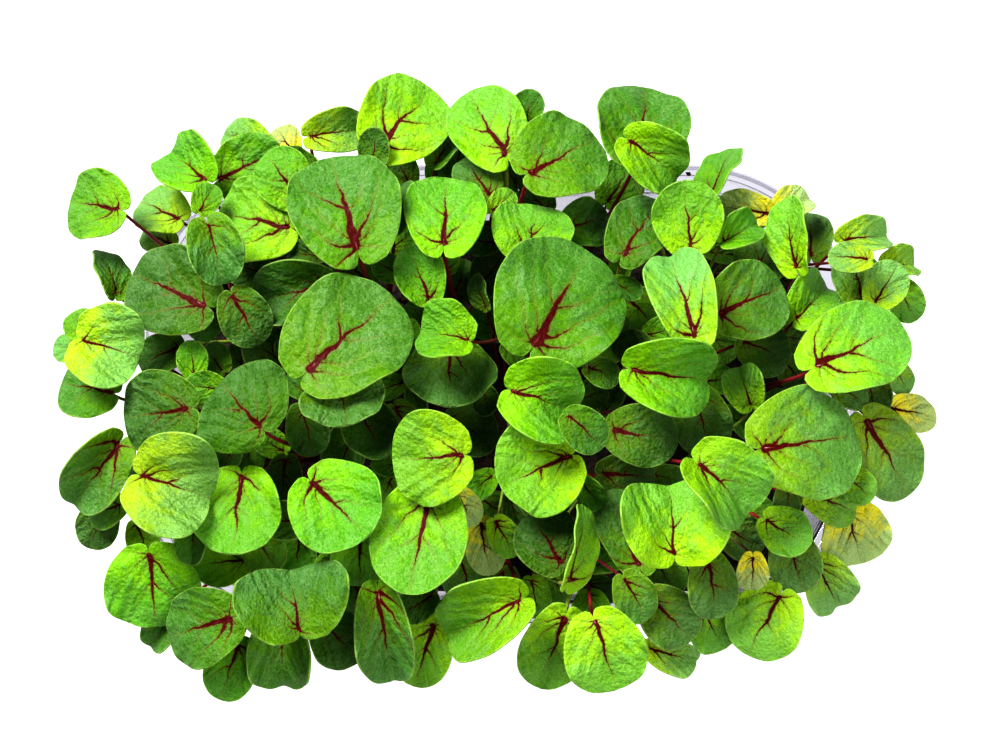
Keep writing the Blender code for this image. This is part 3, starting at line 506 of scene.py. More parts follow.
def shell_triangles(rows, columns):
    """Triangles of two like grids, with one point as their last row, and of their rims' band."""
    count = (rows - 1) * columns + 1
    faces = np.minimum(grid_triangles(rows, columns), count - 1)
    faces = faces[(faces != np.roll(faces, 1, axis=1)).all(axis=1)]
    rim = shell_rim(rows, columns)
    after = np.roll(rim, -1)
    below, after_below = rim + count, after + count
    band = [np.stack([below, after_below, after], 1), np.stack([below, after, rim], 1)]
    return np.concatenate([faces, faces[:, ::-1] + count, *band])


def grid_normals(grid):
    """Unit normals of a grid, from the differences between its neighbours."""
    along, over = np.gradient(grid, axis=0), np.gradient(grid, axis=1)
    over[-1] = over[-2]
    normals = np.cross(over, along)
    return normals / np.maximum(np.linalg.norm(normals, axis=-1, keepdims=True), 1e-9)


def shell_points(grid, thickness):
    """A grid's points moved along its normals to both sides by half of a thickness."""
    normals = grid_normals(grid)
    normals[-1] = normals[-1].mean(axis=0)
    offset = normals * thickness / 2
    count = (grid.shape[0] - 1) * grid.shape[1] + 1
    sides = [(grid + offset).reshape(-1, 3)[:count], (grid - offset).reshape(-1, 3)[:count]]
    return np.concatenate(sides)


def blade_tree(leaf, thickness):
    """The blade's closed shell at a thickness, to test what would cross it."""
    points = shell_points(blade_grid(leaf, BLADE_ROWS, BLADE_COLUMNS), thickness)
    return probe(points, shell_triangles(BLADE_ROWS, BLADE_COLUMNS))


# Petioles


def petiole_line(start, leave, arrive, end, steps):
    """Points along a cubic Bezier curve."""
    t = np.linspace(0, 1, steps + 1)[:, None]
    near, far = (1 - t) ** 3 * start + 3 * (1 - t) ** 2 * t * leave, t**3 * end
    return near + 3 * (1 - t) * t**2 * arrive + far


def carried_sides(along):
    """Unit directions square to the line at each station, carried on from the first one."""
    side = np.cross(along[0], (0.3, 1.0, 0.1))
    sides = []
    for direction in along:
        side = side - direction * (side @ direction)
        side = side / math.sqrt(side @ side)
        sides.append(side)
    return np.array(sides)


def line_axes(points):
    """Unit directions at each station of a line: along it, and two square to it."""
    along = np.gradient(points, axis=0)
    along /= np.linalg.norm(along, axis=1, keepdims=True)
    side = carried_sides(along)
    return along, side, np.cross(along, side)


def petiole_tree(points, radius):
    """A square tube round the line, to test what would cross it."""
    _, side, other = line_axes(points)
    ring = np.stack([points + radius * (a * side + b * other) for a, b in CORNERS], axis=1)
    ring = np.concatenate([ring, ring[:, :1]], axis=1)
    return probe(ring.reshape(-1, 3), grid_triangles(len(points), len(CORNERS) + 1))


def probe(points, faces):
    """A search tree of triangles, with its lowest and highest corners."""
    tree = BVHTree.FromPolygons(points.tolist(), faces.tolist(), all_triangles=True)
    return tree, points.min(axis=0), points.max(axis=0)


def crosses(one, others):
    """Whether a probe meets any of the others."""
    tree, low, high = one
    for other_tree, other_low, other_high in others:
        if (low < other_high).all() and (other_low < high).all() and tree.overlap(other_tree):
            return True
    return False


# Growth


def seen_at(place, height):
    """The point at a height that shows from EYE at a place in the picture plane."""
    point = CANOPY_MIDDLE + place[0] * RIGHT + place[1] * UPWARD
    share = (EYE[2] - height) / (EYE[2] - point[2])
    return EYE + (point - EYE) * share


def held_shape(held, draw):
    """How a blade is folded, bent and waved, with a small seeded variation."""
    return {
        "fold": math.radians(held["fold"] + draw.uniform(-5, 5)),
        "bend": math.radians(held["bend"] + draw.uniform(1, 10)),
        "hollow": held["hollow"],
        "wave": held["wave"],
        "phase": draw.uniform(0, 2 * math.pi),
    }


def read_leaf(row, draw):
    """A leaf from its row of SHOWN_LEAVES, with a small seeded variation in how it is held."""
    across, up, length, width, heading, hold, level, colour = row
    held = HOLDS[hold]
    radial = math.atan2(up / DOME_HALF_Y, across / DOME_HALF_X)
    distance = min(1.0, math.hypot(across / DOME_HALF_X, up / DOME_HALF_Y))
    outward = math.cos(math.radians(heading) - radial) * distance
    dome = DOME_RISE * (1 - distance**2)
    return Leaf(
        seen=(across, up),
        middle=seen_at((across, up), LOWEST_BLADE + LEVEL_RISE * level + dome),
        length=length / (1 + LOBE_DEPTH),
        width=width / math.cos(math.radians(held["fold"] * 0.8)),
        heading=math.radians(heading),
        pitch=math.radians(held["pitch"] - 12 * outward + draw.uniform(-7, 7)),
        roll=math.radians(held["roll"] * draw.choice((-1, 1)) + draw.uniform(-9, 9)),
        **held_shape(held, draw),
        level=level,
        colour=colour,
    )


def trial(leaf, attempt, draw):
    """The leaf as first read, then further and further from its level, a little smaller too."""
    side = 1 if attempt % 2 else -1
    lift = LIFT_STEP * ((attempt + 1) // 2) * side
    size = 1 - SHRINK * attempt
    sway = 0.01 * attempt
    return replace(
        leaf,
        middle=seen_at(leaf.seen, leaf.middle[2] + lift),
        length=leaf.length * size,
        width=leaf.width * size,
        pitch=leaf.pitch + draw.uniform(-sway, sway),
        roll=leaf.roll + draw.uniform(-sway, sway),
    )


def crown_places(draw):
    """Crowns on a jittered triangular lattice inside the medium's top face."""
    half_x, half_y, radius = wall_half_sizes(MEDIUM_TOP)
    half_x, half_y, radius = half_x - 5, half_y - 5, radius - 5
    crowns = []
    row_pitch = CROWN_PITCH * math.sqrt(3) / 2
    rows = int(half_y / row_pitch)
    for row in range(-rows, rows + 1):
        shift = CROWN_PITCH / 2 if row % 2 else 0.0
        for column in range(-8, 9):
            x = column * CROWN_PITCH + shift + draw.uniform(-1, 1) * CROWN_JITTER
            y = row * row_pitch + draw.uniform(-1, 1) * CROWN_JITTER
            over_x = max(0.0, abs(x) - (half_x - radius))
            over_y = max(0.0, abs(y) - (half_y - radius))
            if math.hypot(over_x, over_y) <= radius:
                crowns.append(Crown(x, y, []))
    return crowns


def petiole_choices(leaf, crown, attach, draw):
    """Curves from a crown to the blade's attachment, from the plainest to the most bent."""
    foot = np.array([crown.x, crown.y, MEDIUM_TOP + CROWN_RISE * 0.3])
    direction = turned_by(leaf) @ np.array([0.0, 1.0, 0.0])
    rise = attach[2] - foot[2]
    lean = attach[:2] - foot[:2]
    outward = lean / max(math.hypot(*lean), 0.01)
    start = foot + (*(outward * CROWN_RADIUS * 0.5), 0)
    for choice in range(PETIOLE_CHOICES):
        spread = 0.6 * choice
        leave = start + np.array([*(lean * 0.24), rise * 0.45])
        leave[:2] += (draw.uniform(-spread, spread), draw.uniform(-spread, spread))
        arrive = attach - direction * (2.5 + 0.3 * choice) - np.array([0, 0, 0.28 * rise])
        arrive[:2] += (draw.uniform(-spread, spread), draw.uniform(-spread, spread))
        yield start, leave, arrive, attach


def find_petiole(leaf, crowns, placed, draw, most, radius):
    """The first crown, curve and tube that keep clear of every blade and other seedling."""
    attach = attachment(leaf)
    back = np.array([math.cos(leaf.heading), math.sin(leaf.heading)])
    foot = attach[:2] * (0.80, 0.72) - back * 4
    near = sorted(crowns, key=lambda crown: math.hypot(crown.x - foot[0], crown.y - foot[1]))
    open_crowns = [crown for crown in near if len(crown.leaves) + len(crown.low_leaves) < most]
    for crown in open_crowns[:NEAR_CROWNS]:
        others = [item for owner, kind, item in placed if owner is not crown or kind == "blade"]
        for curve in petiole_choices(leaf, crown, attach, draw):
            tube = petiole_tree(petiole_line(*curve, PETIOLE_STEPS), radius)
            if not crosses(tube, others):
                return crown, curve, tube
    return None, None, None


def stand(leaf, room, crowns, placed, draw):
    """The crown that carries a leaf clear of all that is placed, which it then joins, or None."""
    thickness, most, radius = room
    blade = blade_tree(leaf, thickness)
    if crosses(blade, [item for _, _, item in placed]):
        return None
    crown, leaf.petiole, tube = find_petiole(leaf, crowns, placed, draw, most, radius)
    if crown is not None:
        placed += [(crown, "blade", blade), (crown, "petiole", tube)]
    return crown


def grow(draw):
    """Sets every leaf, largest first, at the nearest height where blade and petiole are clear."""
    crowns = crown_places(draw)
    placed = [(crown, "petiole", crown_probe(crown)) for crown in crowns]
    placed.append((None, "rim", rim_probe()))
    leaves = [read_leaf(row, draw) for row in SHOWN_LEAVES]
    for leaf in sorted(leaves, key=lambda leaf: -leaf.length * leaf.width):
        for attempt in range(LIFT_TRIES):
            grown = trial(leaf, attempt, draw)
            crown = stand(grown, ROOM, crowns, placed, draw)
            if crown is not None:
                crown.leaves.append(grown)
                break
    return [crown for crown in crowns if crown.leaves], placed


def crown_probe(crown):
    """A crown's probe: a short upright tube with the clearance round it."""
    foot = np.array([crown.x, crown.y, MEDIUM_TOP])
    line = np.stack([foot, foot + (0, 0, CROWN_RISE / 2), foot + (0, 0, CROWN_RISE)])
    return petiole_tree(line, CROWN_RADIUS + CLEARANCE)


def rim_probe():
    """The punnet from its wall to the lip as a band of triangles, set out by the clearance."""
    rings = []
    for inset, z in RIM_SECTIONS:
        outline, _ = rim_outline(inset, RIM_STEPS)
        rings.append([(*point, z) for point in [*outline, outline[0]]])
    return probe(np.array(rings).reshape(-1, 3), grid_triangles(len(rings), RIM_STEPS + 1))


def cell_number(place, half):
    """The cells that places fall in, on an even row of cells that reaches half to each side."""
    return np.clip((place + half) / COVER_CELL, 0, 2 * half / COVER_CELL - 1).astype(int)


def cover_cells(points):
    """Row and column of the picture plane's cells where points show from EYE."""
    away = points - EYE
    scale = EYE_DISTANCE / (away @ AHEAD)
    across = (away @ RIGHT) * scale
    up = (away @ UPWARD) * scale
    return cell_number(up, COVER_HALF_Y), cell_number(across, COVER_HALF_X)


def low_leaf(place, draw):
    """A smaller blade at a place in the picture plane, between the medium and the canopy."""
    held = HOLDS[draw.choice(LOW_HOLDS)]
    length = draw.uniform(*LOW_LENGTHS)
    outer = math.hypot(place[0] / SHADE_HALF_X, place[1] / SHADE_HALF_Y)
    height = LOWEST_LOW + LOW_OUTER_RISE * outer**3 + LOW_SPREAD * draw.uniform(0, 1) ** 1.2
    return Leaf(
        seen=place,
        middle=seen_at(place, height),
        length=length / (1 + LOBE_DEPTH),
        width=length * draw.uniform(0.78, 1.0),
        heading=math.atan2(place[1], place[0]) + draw.uniform(-1.5, 1.5),
        pitch=math.radians(held["pitch"] + draw.uniform(-8, 12)),
        roll=math.radians(draw.uniform(-16, 16)),
        **held_shape(held, draw),
        level=0,
        colour=draw.choice(LOW_COLOURS),
    )


def grow_low(crowns, placed, draw):
    """Adds low blades where the medium would show: each is tried at an open cell of the cover.

    The cover ends at an oval, and at a line that leaves the rim bare at the back right corner.
    """
    cells = [int(2 * half / COVER_CELL) for half in (COVER_HALF_Y, COVER_HALF_X)]
    up, across = np.indices(cells) * COVER_CELL + COVER_CELL / 2
    up, across = up - COVER_HALF_Y, across - COVER_HALF_X
    far_across, far_up = np.abs(across) / SHADE_HALF_X, np.abs(up) / SHADE_HALF_Y
    covered = far_across**SHADE_POWER + far_up**SHADE_POWER > 1
    towards_rim = across * math.cos(BARE_RIM_TURN) + up * math.sin(BARE_RIM_TURN)
    covered |= towards_rim > BARE_RIM_FROM
    for crown in crowns:
        for leaf in crown.leaves:
            covered[cover_cells(blade_grid(leaf, *COVER_GRID))] = True
    for _ in range(LOW_TRIES):
        cells = np.argwhere(~covered)
        row, column = cells[int(draw.random() * len(cells))]
        grown = low_leaf((across[row, column], up[row, column]), draw)
        crown = stand(grown, LOW_ROOM, crowns, placed, draw)
        if crown is not None:
            crown.low_leaves.append(grown)
            covered[cover_cells(blade_grid(grown, *LOW_COVER_GRID))] = True


# Fine meshes


@dataclass
class Surface:
    """Triangles with what the materials read at each point."""

    points: np.ndarray
    faces: np.ndarray
    place: np.ndarray
    tint: np.ndarray
    habit: np.ndarray
    margin: np.ndarray
    material: int


def plain_surface(points, faces, tint, habit=(0.0, 0.0, 0.0), run=0.0, material=0):
    """A surface of one tint and one habit, with the run along a stalk as its place."""
    total = len(points)
    return Surface(
        points=points,
        faces=faces,
        place=np.stack([np.broadcast_to(run, total), np.zeros(total)], axis=1),
        tint=np.tile((*tint, 1.0), (total, 1)),
        habit=np.tile(habit, (total, 1)),
        margin=np.zeros((total, 3)),
        material=material,
    )


def ring_triangles(rings, sides):
    """Triangles between rings of points in a row, with a fan at the last and at the first ring.

    The fans' middle points follow all the rings in that order.
    """
    base = np.arange(rings * sides).reshape(rings, sides)
    after = np.roll(base, -1, axis=1)
    low, right = base[:-1].ravel(), after[:-1].ravel()
    up, far = base[1:].ravel(), after[1:].ravel()
    middle = np.full(sides, rings * sides)
    return np.concatenate(
        [
            np.stack([low, right, far], 1),
            np.stack([low, far, up], 1),
            np.stack([base[-1], after[-1], middle], 1),
            np.stack([after[0], base[0], middle + 1], 1),
        ]
    )


def fine_blade(leaf, tint, habit):
    """A blade as a thin closed shell.

    The rows are even turns with one more close to the base, and the columns follow a sine, so
    that they close up at the margins. The margin is each point's distance from the rim, laid flat.
    """
    even = np.linspace(BASE_ANGLE, math.pi, FINE_ROWS)
    turn = np.insert(even, 1, BASE_ANGLE + 0.03)[:, None]
    across = np.sin(np.linspace(-1, 1, FINE_COLUMNS) * math.pi / 2)[None, :]
    rows, columns = turn.shape[0], across.shape[1]
    grid = blade_surface(leaf, turn, across, CLOSING, RIPPLE) + attachment(leaf)
    count = (rows - 1) * columns + 1
    x, y = blade_flat(leaf, turn, across, CLOSING)
    x, y = (np.broadcast_to(value, (rows, columns)).ravel()[:count] for value in (x, y))
    flat = np.stack([x, y], axis=1)
    rim = flat[shell_rim(rows, columns)]
    margin = np.linalg.norm(flat[:, None, :] - rim[None], axis=2).min(axis=1)
    under = np.repeat((0.0, 1.0), count)
    blade = plain_surface(
        shell_points(grid, FINE_THICKNESS), shell_triangles(rows, columns), tint, habit
    )
    blade.place = np.tile(flat / leaf.length, (2, 1))
    blade.margin = np.stack([np.tile(margin, 2), under, np.zeros(2 * count)], axis=1)
    return blade


def fine_stalk(leaf, tint, habit):
    """A petiole with the rib under its blade: a round tube along a curve.

    The line is the petiole's Bezier curve and then the midrib, lowered to the blade's underside.
    The radius swells at the foot, is even, and falls to a thread at the rib's end.
    """
    curve = petiole_line(*leaf.petiole, STALK_POINTS - 1)
    rib_turn = np.linspace(BASE_ANGLE, RIB_END, RIB_POINTS + 1)[1:, None]
    middle = np.array([[-0.02, 0.0, 0.02]])
    rib = blade_surface(leaf, rib_turn, middle, 0.0, RIPPLE) + attachment(leaf)
    below = grid_normals(rib)[:, 1] * (FINE_THICKNESS / 2)
    points = np.concatenate([curve, rib[:, 1] - below])
    run = np.concatenate(
        [np.linspace(0, 1, STALK_POINTS), 1 + np.linspace(0, 1, RIB_POINTS + 1)[1:]]
    )
    size = min(1.0, 0.5 + leaf.length / 36)
    radius = STALK_RADIUS * size * (1 + 0.35 * np.exp(-run * 16))
    radius = radius * (1 - 0.25 * np.clip(run, 0, 1)) * np.clip(1.06 - (run - 1), 0.06, 1) ** 1.2
    along, side, other = line_axes(points)
    turn = (np.arange(STALK_SIDES) * 2 * math.pi / STALK_SIDES)[None, :, None]
    out = np.cos(turn) * side[:, None] + np.sin(turn) * other[:, None]
    tube = points[:, None] + out * radius[:, None, None]
    end = points[-1] + along[-1] * radius[-1]
    return plain_surface(
        np.concatenate([tube.reshape(-1, 3), [end], [points[0]]]),
        ring_triangles(len(points), STALK_SIDES),
        tint,
        habit,
        run=np.append(np.repeat(run, STALK_SIDES), (run[-1], 0.0)),
        material=1,
    )


def fine_crown(crown, tint, habit):
    """A seedling's crown: a small round knob turned about the upright through its foot."""
    profile = np.array(CROWN_PROFILE)
    turn = np.arange(CROWN_SIDES) * 2 * math.pi / CROWN_SIDES
    wobble = 1 + 0.12 * np.sin(3 * turn + habit[1] * 40)
    ring = np.stack([np.cos(turn) * wobble, np.sin(turn) * wobble], axis=1)
    flat = profile[:, None, :1] * ring[None]
    height = np.broadcast_to(profile[:, None, 1:], (len(profile), CROWN_SIDES, 1))
    points = np.concatenate([flat, height], axis=2).reshape(-1, 3)
    points = np.concatenate([points, [(0, 0, 1.7)], [(0, 0, -2.0)]])
    return plain_surface(
        points + (crown.x, crown.y, MEDIUM_TOP),
        ring_triangles(len(profile), CROWN_SIDES),
        tint,
        habit,
        material=1,
    )


def mesh_from(name, surfaces, materials):
    """One mesh from several surfaces, with the attributes and the UV map that materials read."""
    counts = np.cumsum([0] + [len(surface.points) for surface in surfaces])
    points = np.concatenate([surface.points for surface in surfaces]) * MM
    faces = np.concatenate([surface.faces + count for surface, count in zip(surfaces, counts)])
    mesh = bpy.data.meshes.new(name)
    mesh.vertices.add(len(points))
    mesh.vertices.foreach_set("co", points.ravel())
    mesh.loops.add(3 * len(faces))
    mesh.loops.foreach_set("vertex_index", faces.ravel())
    mesh.polygons.add(len(faces))
    mesh.polygons.foreach_set("loop_start", np.arange(len(faces)) * 3)
    mesh.polygons.foreach_set("loop_total", np.full(len(faces), 3))
    chosen = np.concatenate([np.full(len(s.faces), s.material) for s in surfaces])
    for material in materials:
        mesh.materials.append(material)
    mesh.polygons.foreach_set("material_index", chosen)
    mesh.polygons.foreach_set("use_smooth", np.ones(len(faces), dtype=bool))
    place = np.concatenate([surface.place for surface in surfaces])
    mesh.uv_layers.new(name="place").data.foreach_set("uv", place[faces.ravel()].ravel())
    for trait, kind, key in (
        ("tint", "FLOAT_COLOR", "color"),
        ("habit", "FLOAT_VECTOR", "vector"),
        ("margin", "FLOAT_VECTOR", "vector"),
    ):
        values = np.concatenate([getattr(surface, trait) for surface in surfaces])
        mesh.attributes.new(trait, kind, "POINT").data.foreach_set(key, values.ravel())
    mesh.update()
    mesh.validate()
    return mesh


def add_piece(name, mesh, node):
    """Shows a mesh in place of a node, on the one body."""
    piece = bpy.data.objects.new(name, mesh)
    bpy.context.scene.collection.objects.link(piece)
    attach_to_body(piece, "root")
    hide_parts(node)
    return piece


def varied(colour, draw):
    """A leaf colour with a small seeded change of strength and of warmth."""
    strength = draw.uniform(0.86, 1.14)
    warmth = draw.uniform(-0.10, 0.10)
    return np.array(colour) * strength * (1 + warmth, 1, 1 - warmth)


def make_seedling(number, crown, materials, draw):
    """One seedling: its crown, and a stalk and a blade for each of its leaves."""
    surfaces = [fine_crown(crown, CROWN_TINT, (0.5, draw.random(), 0.5))]
    for leaf in crown.leaves + crown.low_leaves:
        redness = (0.8 + 0.3 * min(1.0, leaf.length / 20)) * draw.uniform(0.75, 1.05)
        habit = np.array([draw.uniform(0.6, 0.85), draw.random(), redness])
        # Painted light: a lighter tint towards the front right, as if that side were lit more
        painted_light = max(0.0, leaf.middle[:2] @ PAINTED_LIGHT_TOWARDS - 0.3)
        tint = varied(LEAF_COLOURS[leaf.colour], draw) + painted_light * np.array(PAINTED_LIGHT_GAIN)
        stalk = STALK_GREEN if draw.random() < GREEN_STALKS else STALK_RED
        surfaces.append(fine_blade(leaf, tint, habit))
        surfaces.append(fine_stalk(leaf, varied(stalk, draw), habit))
    topmost = max(crown.leaves, key=lambda leaf: leaf.level)
    name = f"fine_seedling_{number:02d}"
    mesh = mesh_from(name, surfaces, materials)
    return add_piece(name, mesh, f"seedling_{number:02d}")


# Punnet and medium


def rounded_path(path, radius, steps):
    """A polyline with each inner corner replaced by a short quadratic curve."""
    rounded = [path[:1]]
    for before, corner, after in zip(path, path[1:], path[2:]):
        back, ahead = before - corner, after - corner
        size = min(radius, 0.45 * math.hypot(*back[:2]), 0.45 * math.hypot(*ahead[:2]))
        start = corner + back * size / math.hypot(*back[:2])
        end = corner + ahead * size / math.hypot(*ahead[:2])
        t = np.linspace(0, 1, steps)[:, None]
        rounded.append((1 - t) ** 2 * start + 2 * t * (1 - t) * corner + t**2 * end)
    rounded.append(path[-1:])
    return np.concatenate(rounded)


def punnet_profile():
    """The punnet's section as a closed path of insets from the rim, heights and flute shares.

    The upper and inner face runs from the lip over the ledge and down to the foot's middle. The
    outer face is the same path set back by the wall.
    """
    ledge = FLANGE_WIDTH + LEDGE_WIDTH
    ledge_height = PUNNET_HEIGHT - LEDGE_DEPTH
    lean = WALL_LEAN / PUNNET_HEIGHT
    foot_top = SHELL_WALL + FOOT_RADIUS
    face = np.array(
        [
            (0.0, PUNNET_HEIGHT - LIP_DROP, 0),
            (0.0, PUNNET_HEIGHT, 0),
            (FLANGE_WIDTH, PUNNET_HEIGHT, 0),
            (FLANGE_WIDTH + 0.3, ledge_height, 0),
            (ledge, ledge_height, 0),
            (ledge + lean * FLUTE_START * 0.5, PUNNET_HEIGHT - FLUTE_START * 0.5, 0.1),
            (ledge + lean * FLUTE_START, PUNNET_HEIGHT - FLUTE_START, 1),
            (ledge + lean * (PUNNET_HEIGHT - foot_top), foot_top, 1),
            (ledge + WALL_LEAN + FOOT_RADIUS, SHELL_WALL, 0),
            (ledge + WALL_LEAN + FOOT_RADIUS + 6, SHELL_WALL, 0),
        ]
    )
    face = rounded_path(face, 0.9, 5)
    along = np.gradient(face[:, :2], axis=0)
    along /= np.linalg.norm(along, axis=1, keepdims=True)
    back = face.copy()
    back[:, 0] += along[:, 1] * SHELL_WALL
    back[:, 1] -= along[:, 0] * SHELL_WALL
    return np.concatenate([face, back[::-1]])


def make_punnet(material):
    """The clear shell: its section carried round the rounded rectangle, with cosine flutes.

    The rings start under the foot, run up outside and over the lip, and end inside the foot.
    """
    profile = punnet_profile()
    turn = 2 * math.pi * FLUTES * np.arange(SHELL_AROUND) / SHELL_AROUND
    flute = FLUTE_DEPTH * 0.5 * (1 - np.cos(turn))
    rings = []
    for inset, z, share in profile:
        outline, outwards = rim_outline(inset, SHELL_AROUND)
        flat = outline + outwards * (flute * share)[:, None]
        rings.append(np.concatenate([flat, np.full((SHELL_AROUND, 1), z)], axis=1))
    rings = np.roll(rings, -(len(rings) // 2), axis=0)
    points = np.concatenate([rings.reshape(-1, 3), [(0, 0, SHELL_WALL)], [(0, 0, 0)]])
    shell = plain_surface(points, ring_triangles(len(rings), SHELL_AROUND), (1.0, 1.0, 1.0))
    mesh = mesh_from("clear_punnet", [shell], [material])
    return add_piece("clear_punnet", mesh, "punnet")


def lattice_noise(points, cell, seed):
    """Smooth values between -1 and 1: random values on a cubic lattice, blended between."""
    size = 32
    table = np.random.default_rng(seed).uniform(-1, 1, (size, size, size))
    scaled = points / cell + 500.0
    corner = np.floor(scaled).astype(int)
    share = scaled - corner
    share = share * share * (3 - 2 * share)
    total = np.zeros(len(points))
    for step in np.ndindex(2, 2, 2):
        weight = np.prod(np.where(step, share, 1 - share), axis=1)
        place = (corner + step) % size
        total += weight * table[place[:, 0], place[:, 1], place[:, 2]]
    return total


def make_medium(material, draw):
    """The block of growing medium: rounded rings with a crumbly top, and loose crumbs on it.

    Rings run from the foot up the wall and in over the top to its middle. Two sizes of lattice
    noise push each point in or out.
    """
    side_heights = np.linspace(1.6, MEDIUM_TOP - 1.2, 26)
    rings = [(MEDIUM_BOTTOM, 0.93), *((z, 1.0) for z in side_heights)]
    rings += [(MEDIUM_TOP - 0.4, 0.985), *((MEDIUM_TOP, s) for s in np.linspace(0.965, 0.03, 44))]
    shapes = []
    for z, share in rings:
        sizes = [size - MEDIUM_SET_IN for size in wall_half_sizes(z)]
        outline, _ = rounded_outline(*sizes, MEDIUM_AROUND)
        shapes.append(np.concatenate([outline * share, np.full((MEDIUM_AROUND, 1), z)], axis=1))
    shapes = np.array(shapes)
    points = np.concatenate([shapes.reshape(-1, 3), [(0, 0, MEDIUM_TOP)], [(0, 0, MEDIUM_BOTTOM)]])
    push = 0.55 * lattice_noise(points, 4.5, 1) + 0.4 * lattice_noise(points, 1.9, 2)
    on_top = np.clip((points[:, 2] - (MEDIUM_TOP - 2)) / 2, 0, 1)
    away = points / np.maximum(np.linalg.norm(points[:, :2], axis=1, keepdims=True), 1.0)
    points[:, :2] += away[:, :2] * ((push - 0.35) * 0.6 * (1 - on_top))[:, None]
    points[:, 2] += (push - 0.3) * on_top
    points[-1, 2] = MEDIUM_BOTTOM
    block = plain_surface(points, ring_triangles(len(rings), MEDIUM_AROUND), MEDIUM_TINT)
    crumbs = [crumb(crumb_place(draw), draw.uniform(0.5, 1.5), draw) for _ in range(CRUMBS)]
    husk = crumb(HUSK_PLACE, HUSK_SIZE, draw)
    mesh = mesh_from("crumbly_medium", [block, *crumbs, husk], [material])
    return add_piece("crumbly_medium", mesh, "growing_medium")


def crumb_place(draw):
    """An even random place in an oval on the medium's top."""
    half_x, half_y, _ = wall_half_sizes(MEDIUM_TOP)
    turn, reach = draw.uniform(0, 2 * math.pi), math.sqrt(draw.uniform(0, 1))
    x = reach * (half_x - 6) * math.cos(turn)
    return x, reach * (half_y - 6) * math.sin(turn), MEDIUM_TOP + CRUMB_LIFT


def crumb(place, size, draw):
    """A loose crumb: an octahedron with each corner pushed about, turned about the upright."""
    axes = np.concatenate([np.eye(3), -np.eye(3)])
    faces = np.array(
        [(0, 1, 2), (1, 3, 2), (3, 4, 2), (4, 0, 2), (1, 0, 5), (3, 1, 5), (4, 3, 5), (0, 4, 5)]
    )
    push = np.array([draw.uniform(0.6, 1.2) for _ in range(6)])
    stretch = (1.0, draw.uniform(0.6, 1.0), draw.uniform(0.5, 0.9))
    points = axes * push[:, None] * stretch * size
    spin = draw.uniform(0, 2 * math.pi)
    points[:, :2] = points[:, :2] @ np.array(
        [(math.cos(spin), math.sin(spin)), (-math.sin(spin), math.cos(spin))]
    )
    tint = PALE_CRUMB_TINT if draw.random() < PALE_CRUMBS else varied(CRUMB_TINT, draw)
    return plain_surface(points + place, faces, tint)


# Materials


class Shader:
    """A material's node tree, with short calls for its arithmetic."""

    def __init__(self, name):
        self.material = bpy.data.materials.new(name)
        self.material.use_nodes = True
        self.nodes = self.material.node_tree.nodes
        self.links = self.material.node_tree.links
        self.surface = self.nodes["Principled BSDF"]
        self.output = self.nodes["Material Output"]

    def put(self, socket, value):
        """Links a socket to another, or sets its value."""
        if isinstance(value, bpy.types.NodeSocket):
            self.links.new(value, socket)
        else:
            socket.default_value = value

    def finish(self, name, value):
        self.put(self.surface.inputs[name], value)

    def math(self, operation, *values):
        node = self.nodes.new("ShaderNodeMath")
        node.operation = operation
        for socket, value in zip(node.inputs, values):
            self.put(socket, value)
        return node.outputs[0]

    def ease(self, value, low, high, start=0.0, end=1.0):
        """The value's share between low and high, eased at both ends, as start to end."""
        node = self.nodes.new("ShaderNodeMapRange")
        node.interpolation_type = "SMOOTHSTEP"
        numbers = {"From Min": low, "From Max": high, "To Min": start, "To Max": end}
        for name, number in numbers.items():
            node.inputs[name].default_value = number
        self.put(node.inputs["Value"], value)
        return node.outputs[0]

    def shifted(self, value, strength, base):
        """The base, moved by how far the value lies from a half, times the strength."""
        return self.math("MULTIPLY_ADD", self.math("SUBTRACT", value, 0.5), strength, base)

    def mix(self, share, one, other, blend="MIX"):
        node = self.nodes.new("ShaderNodeMix")
        node.data_type = "RGBA"
        node.blend_type = blend
        self.put(node.inputs["Factor"], share)
        self.put(node.inputs[6], (*one, 1.0) if isinstance(one, tuple) else one)
        self.put(node.inputs[7], (*other, 1.0) if isinstance(other, tuple) else other)
        return node.outputs[2]

    def tinted(self, colour, by):
        return self.mix(1.0, colour, by, "MULTIPLY")

    def read(self, name):
        node = self.nodes.new("ShaderNodeAttribute")
        node.attribute_name = name
        return node

    def place(self):
        """The parts of the flat place that each surface stores."""
        node = self.nodes.new("ShaderNodeUVMap")
        node.uv_map = "place"
        return self.parts(node.outputs[0])

    def body(self):
        """The position in the object's own frame, in metres."""
        return self.nodes.new("ShaderNodeTexCoord").outputs["Object"]

    def parts(self, vector):
        node = self.nodes.new("ShaderNodeSeparateXYZ")
        self.put(node.inputs[0], vector)
        return node.outputs

    def joined(self, x, y, z):
        node = self.nodes.new("ShaderNodeCombineXYZ")
        for socket, value in zip(node.inputs, (x, y, z)):
            self.put(socket, value)
        return node.outputs[0]

    def noise(self, place, scale, detail=2.0, roughness=0.5):
        node = self.nodes.new("ShaderNodeTexNoise")
        self.put(node.inputs["Vector"], place)
        node.inputs["Scale"].default_value = scale
        node.inputs["Detail"].default_value = detail
        node.inputs["Roughness"].default_value = roughness
        return node

    def cells(self, place, scale, feature="DISTANCE_TO_EDGE", dimensions="3D"):
        node = self.nodes.new("ShaderNodeTexVoronoi")
        node.voronoi_dimensions = dimensions
        node.feature = feature
        self.put(node.inputs["Vector"], place)
        node.inputs["Scale"].default_value = scale
        return node.outputs["Distance"]

    def bump(self, height, distance, strength=1.0):
        node = self.nodes.new("ShaderNodeBump")
        node.inputs["Distance"].default_value = distance
        node.inputs["Strength"].default_value = strength
        self.put(node.inputs["Height"], height)
        self.finish("Normal", node.outputs[0])
        return node.outputs[0]


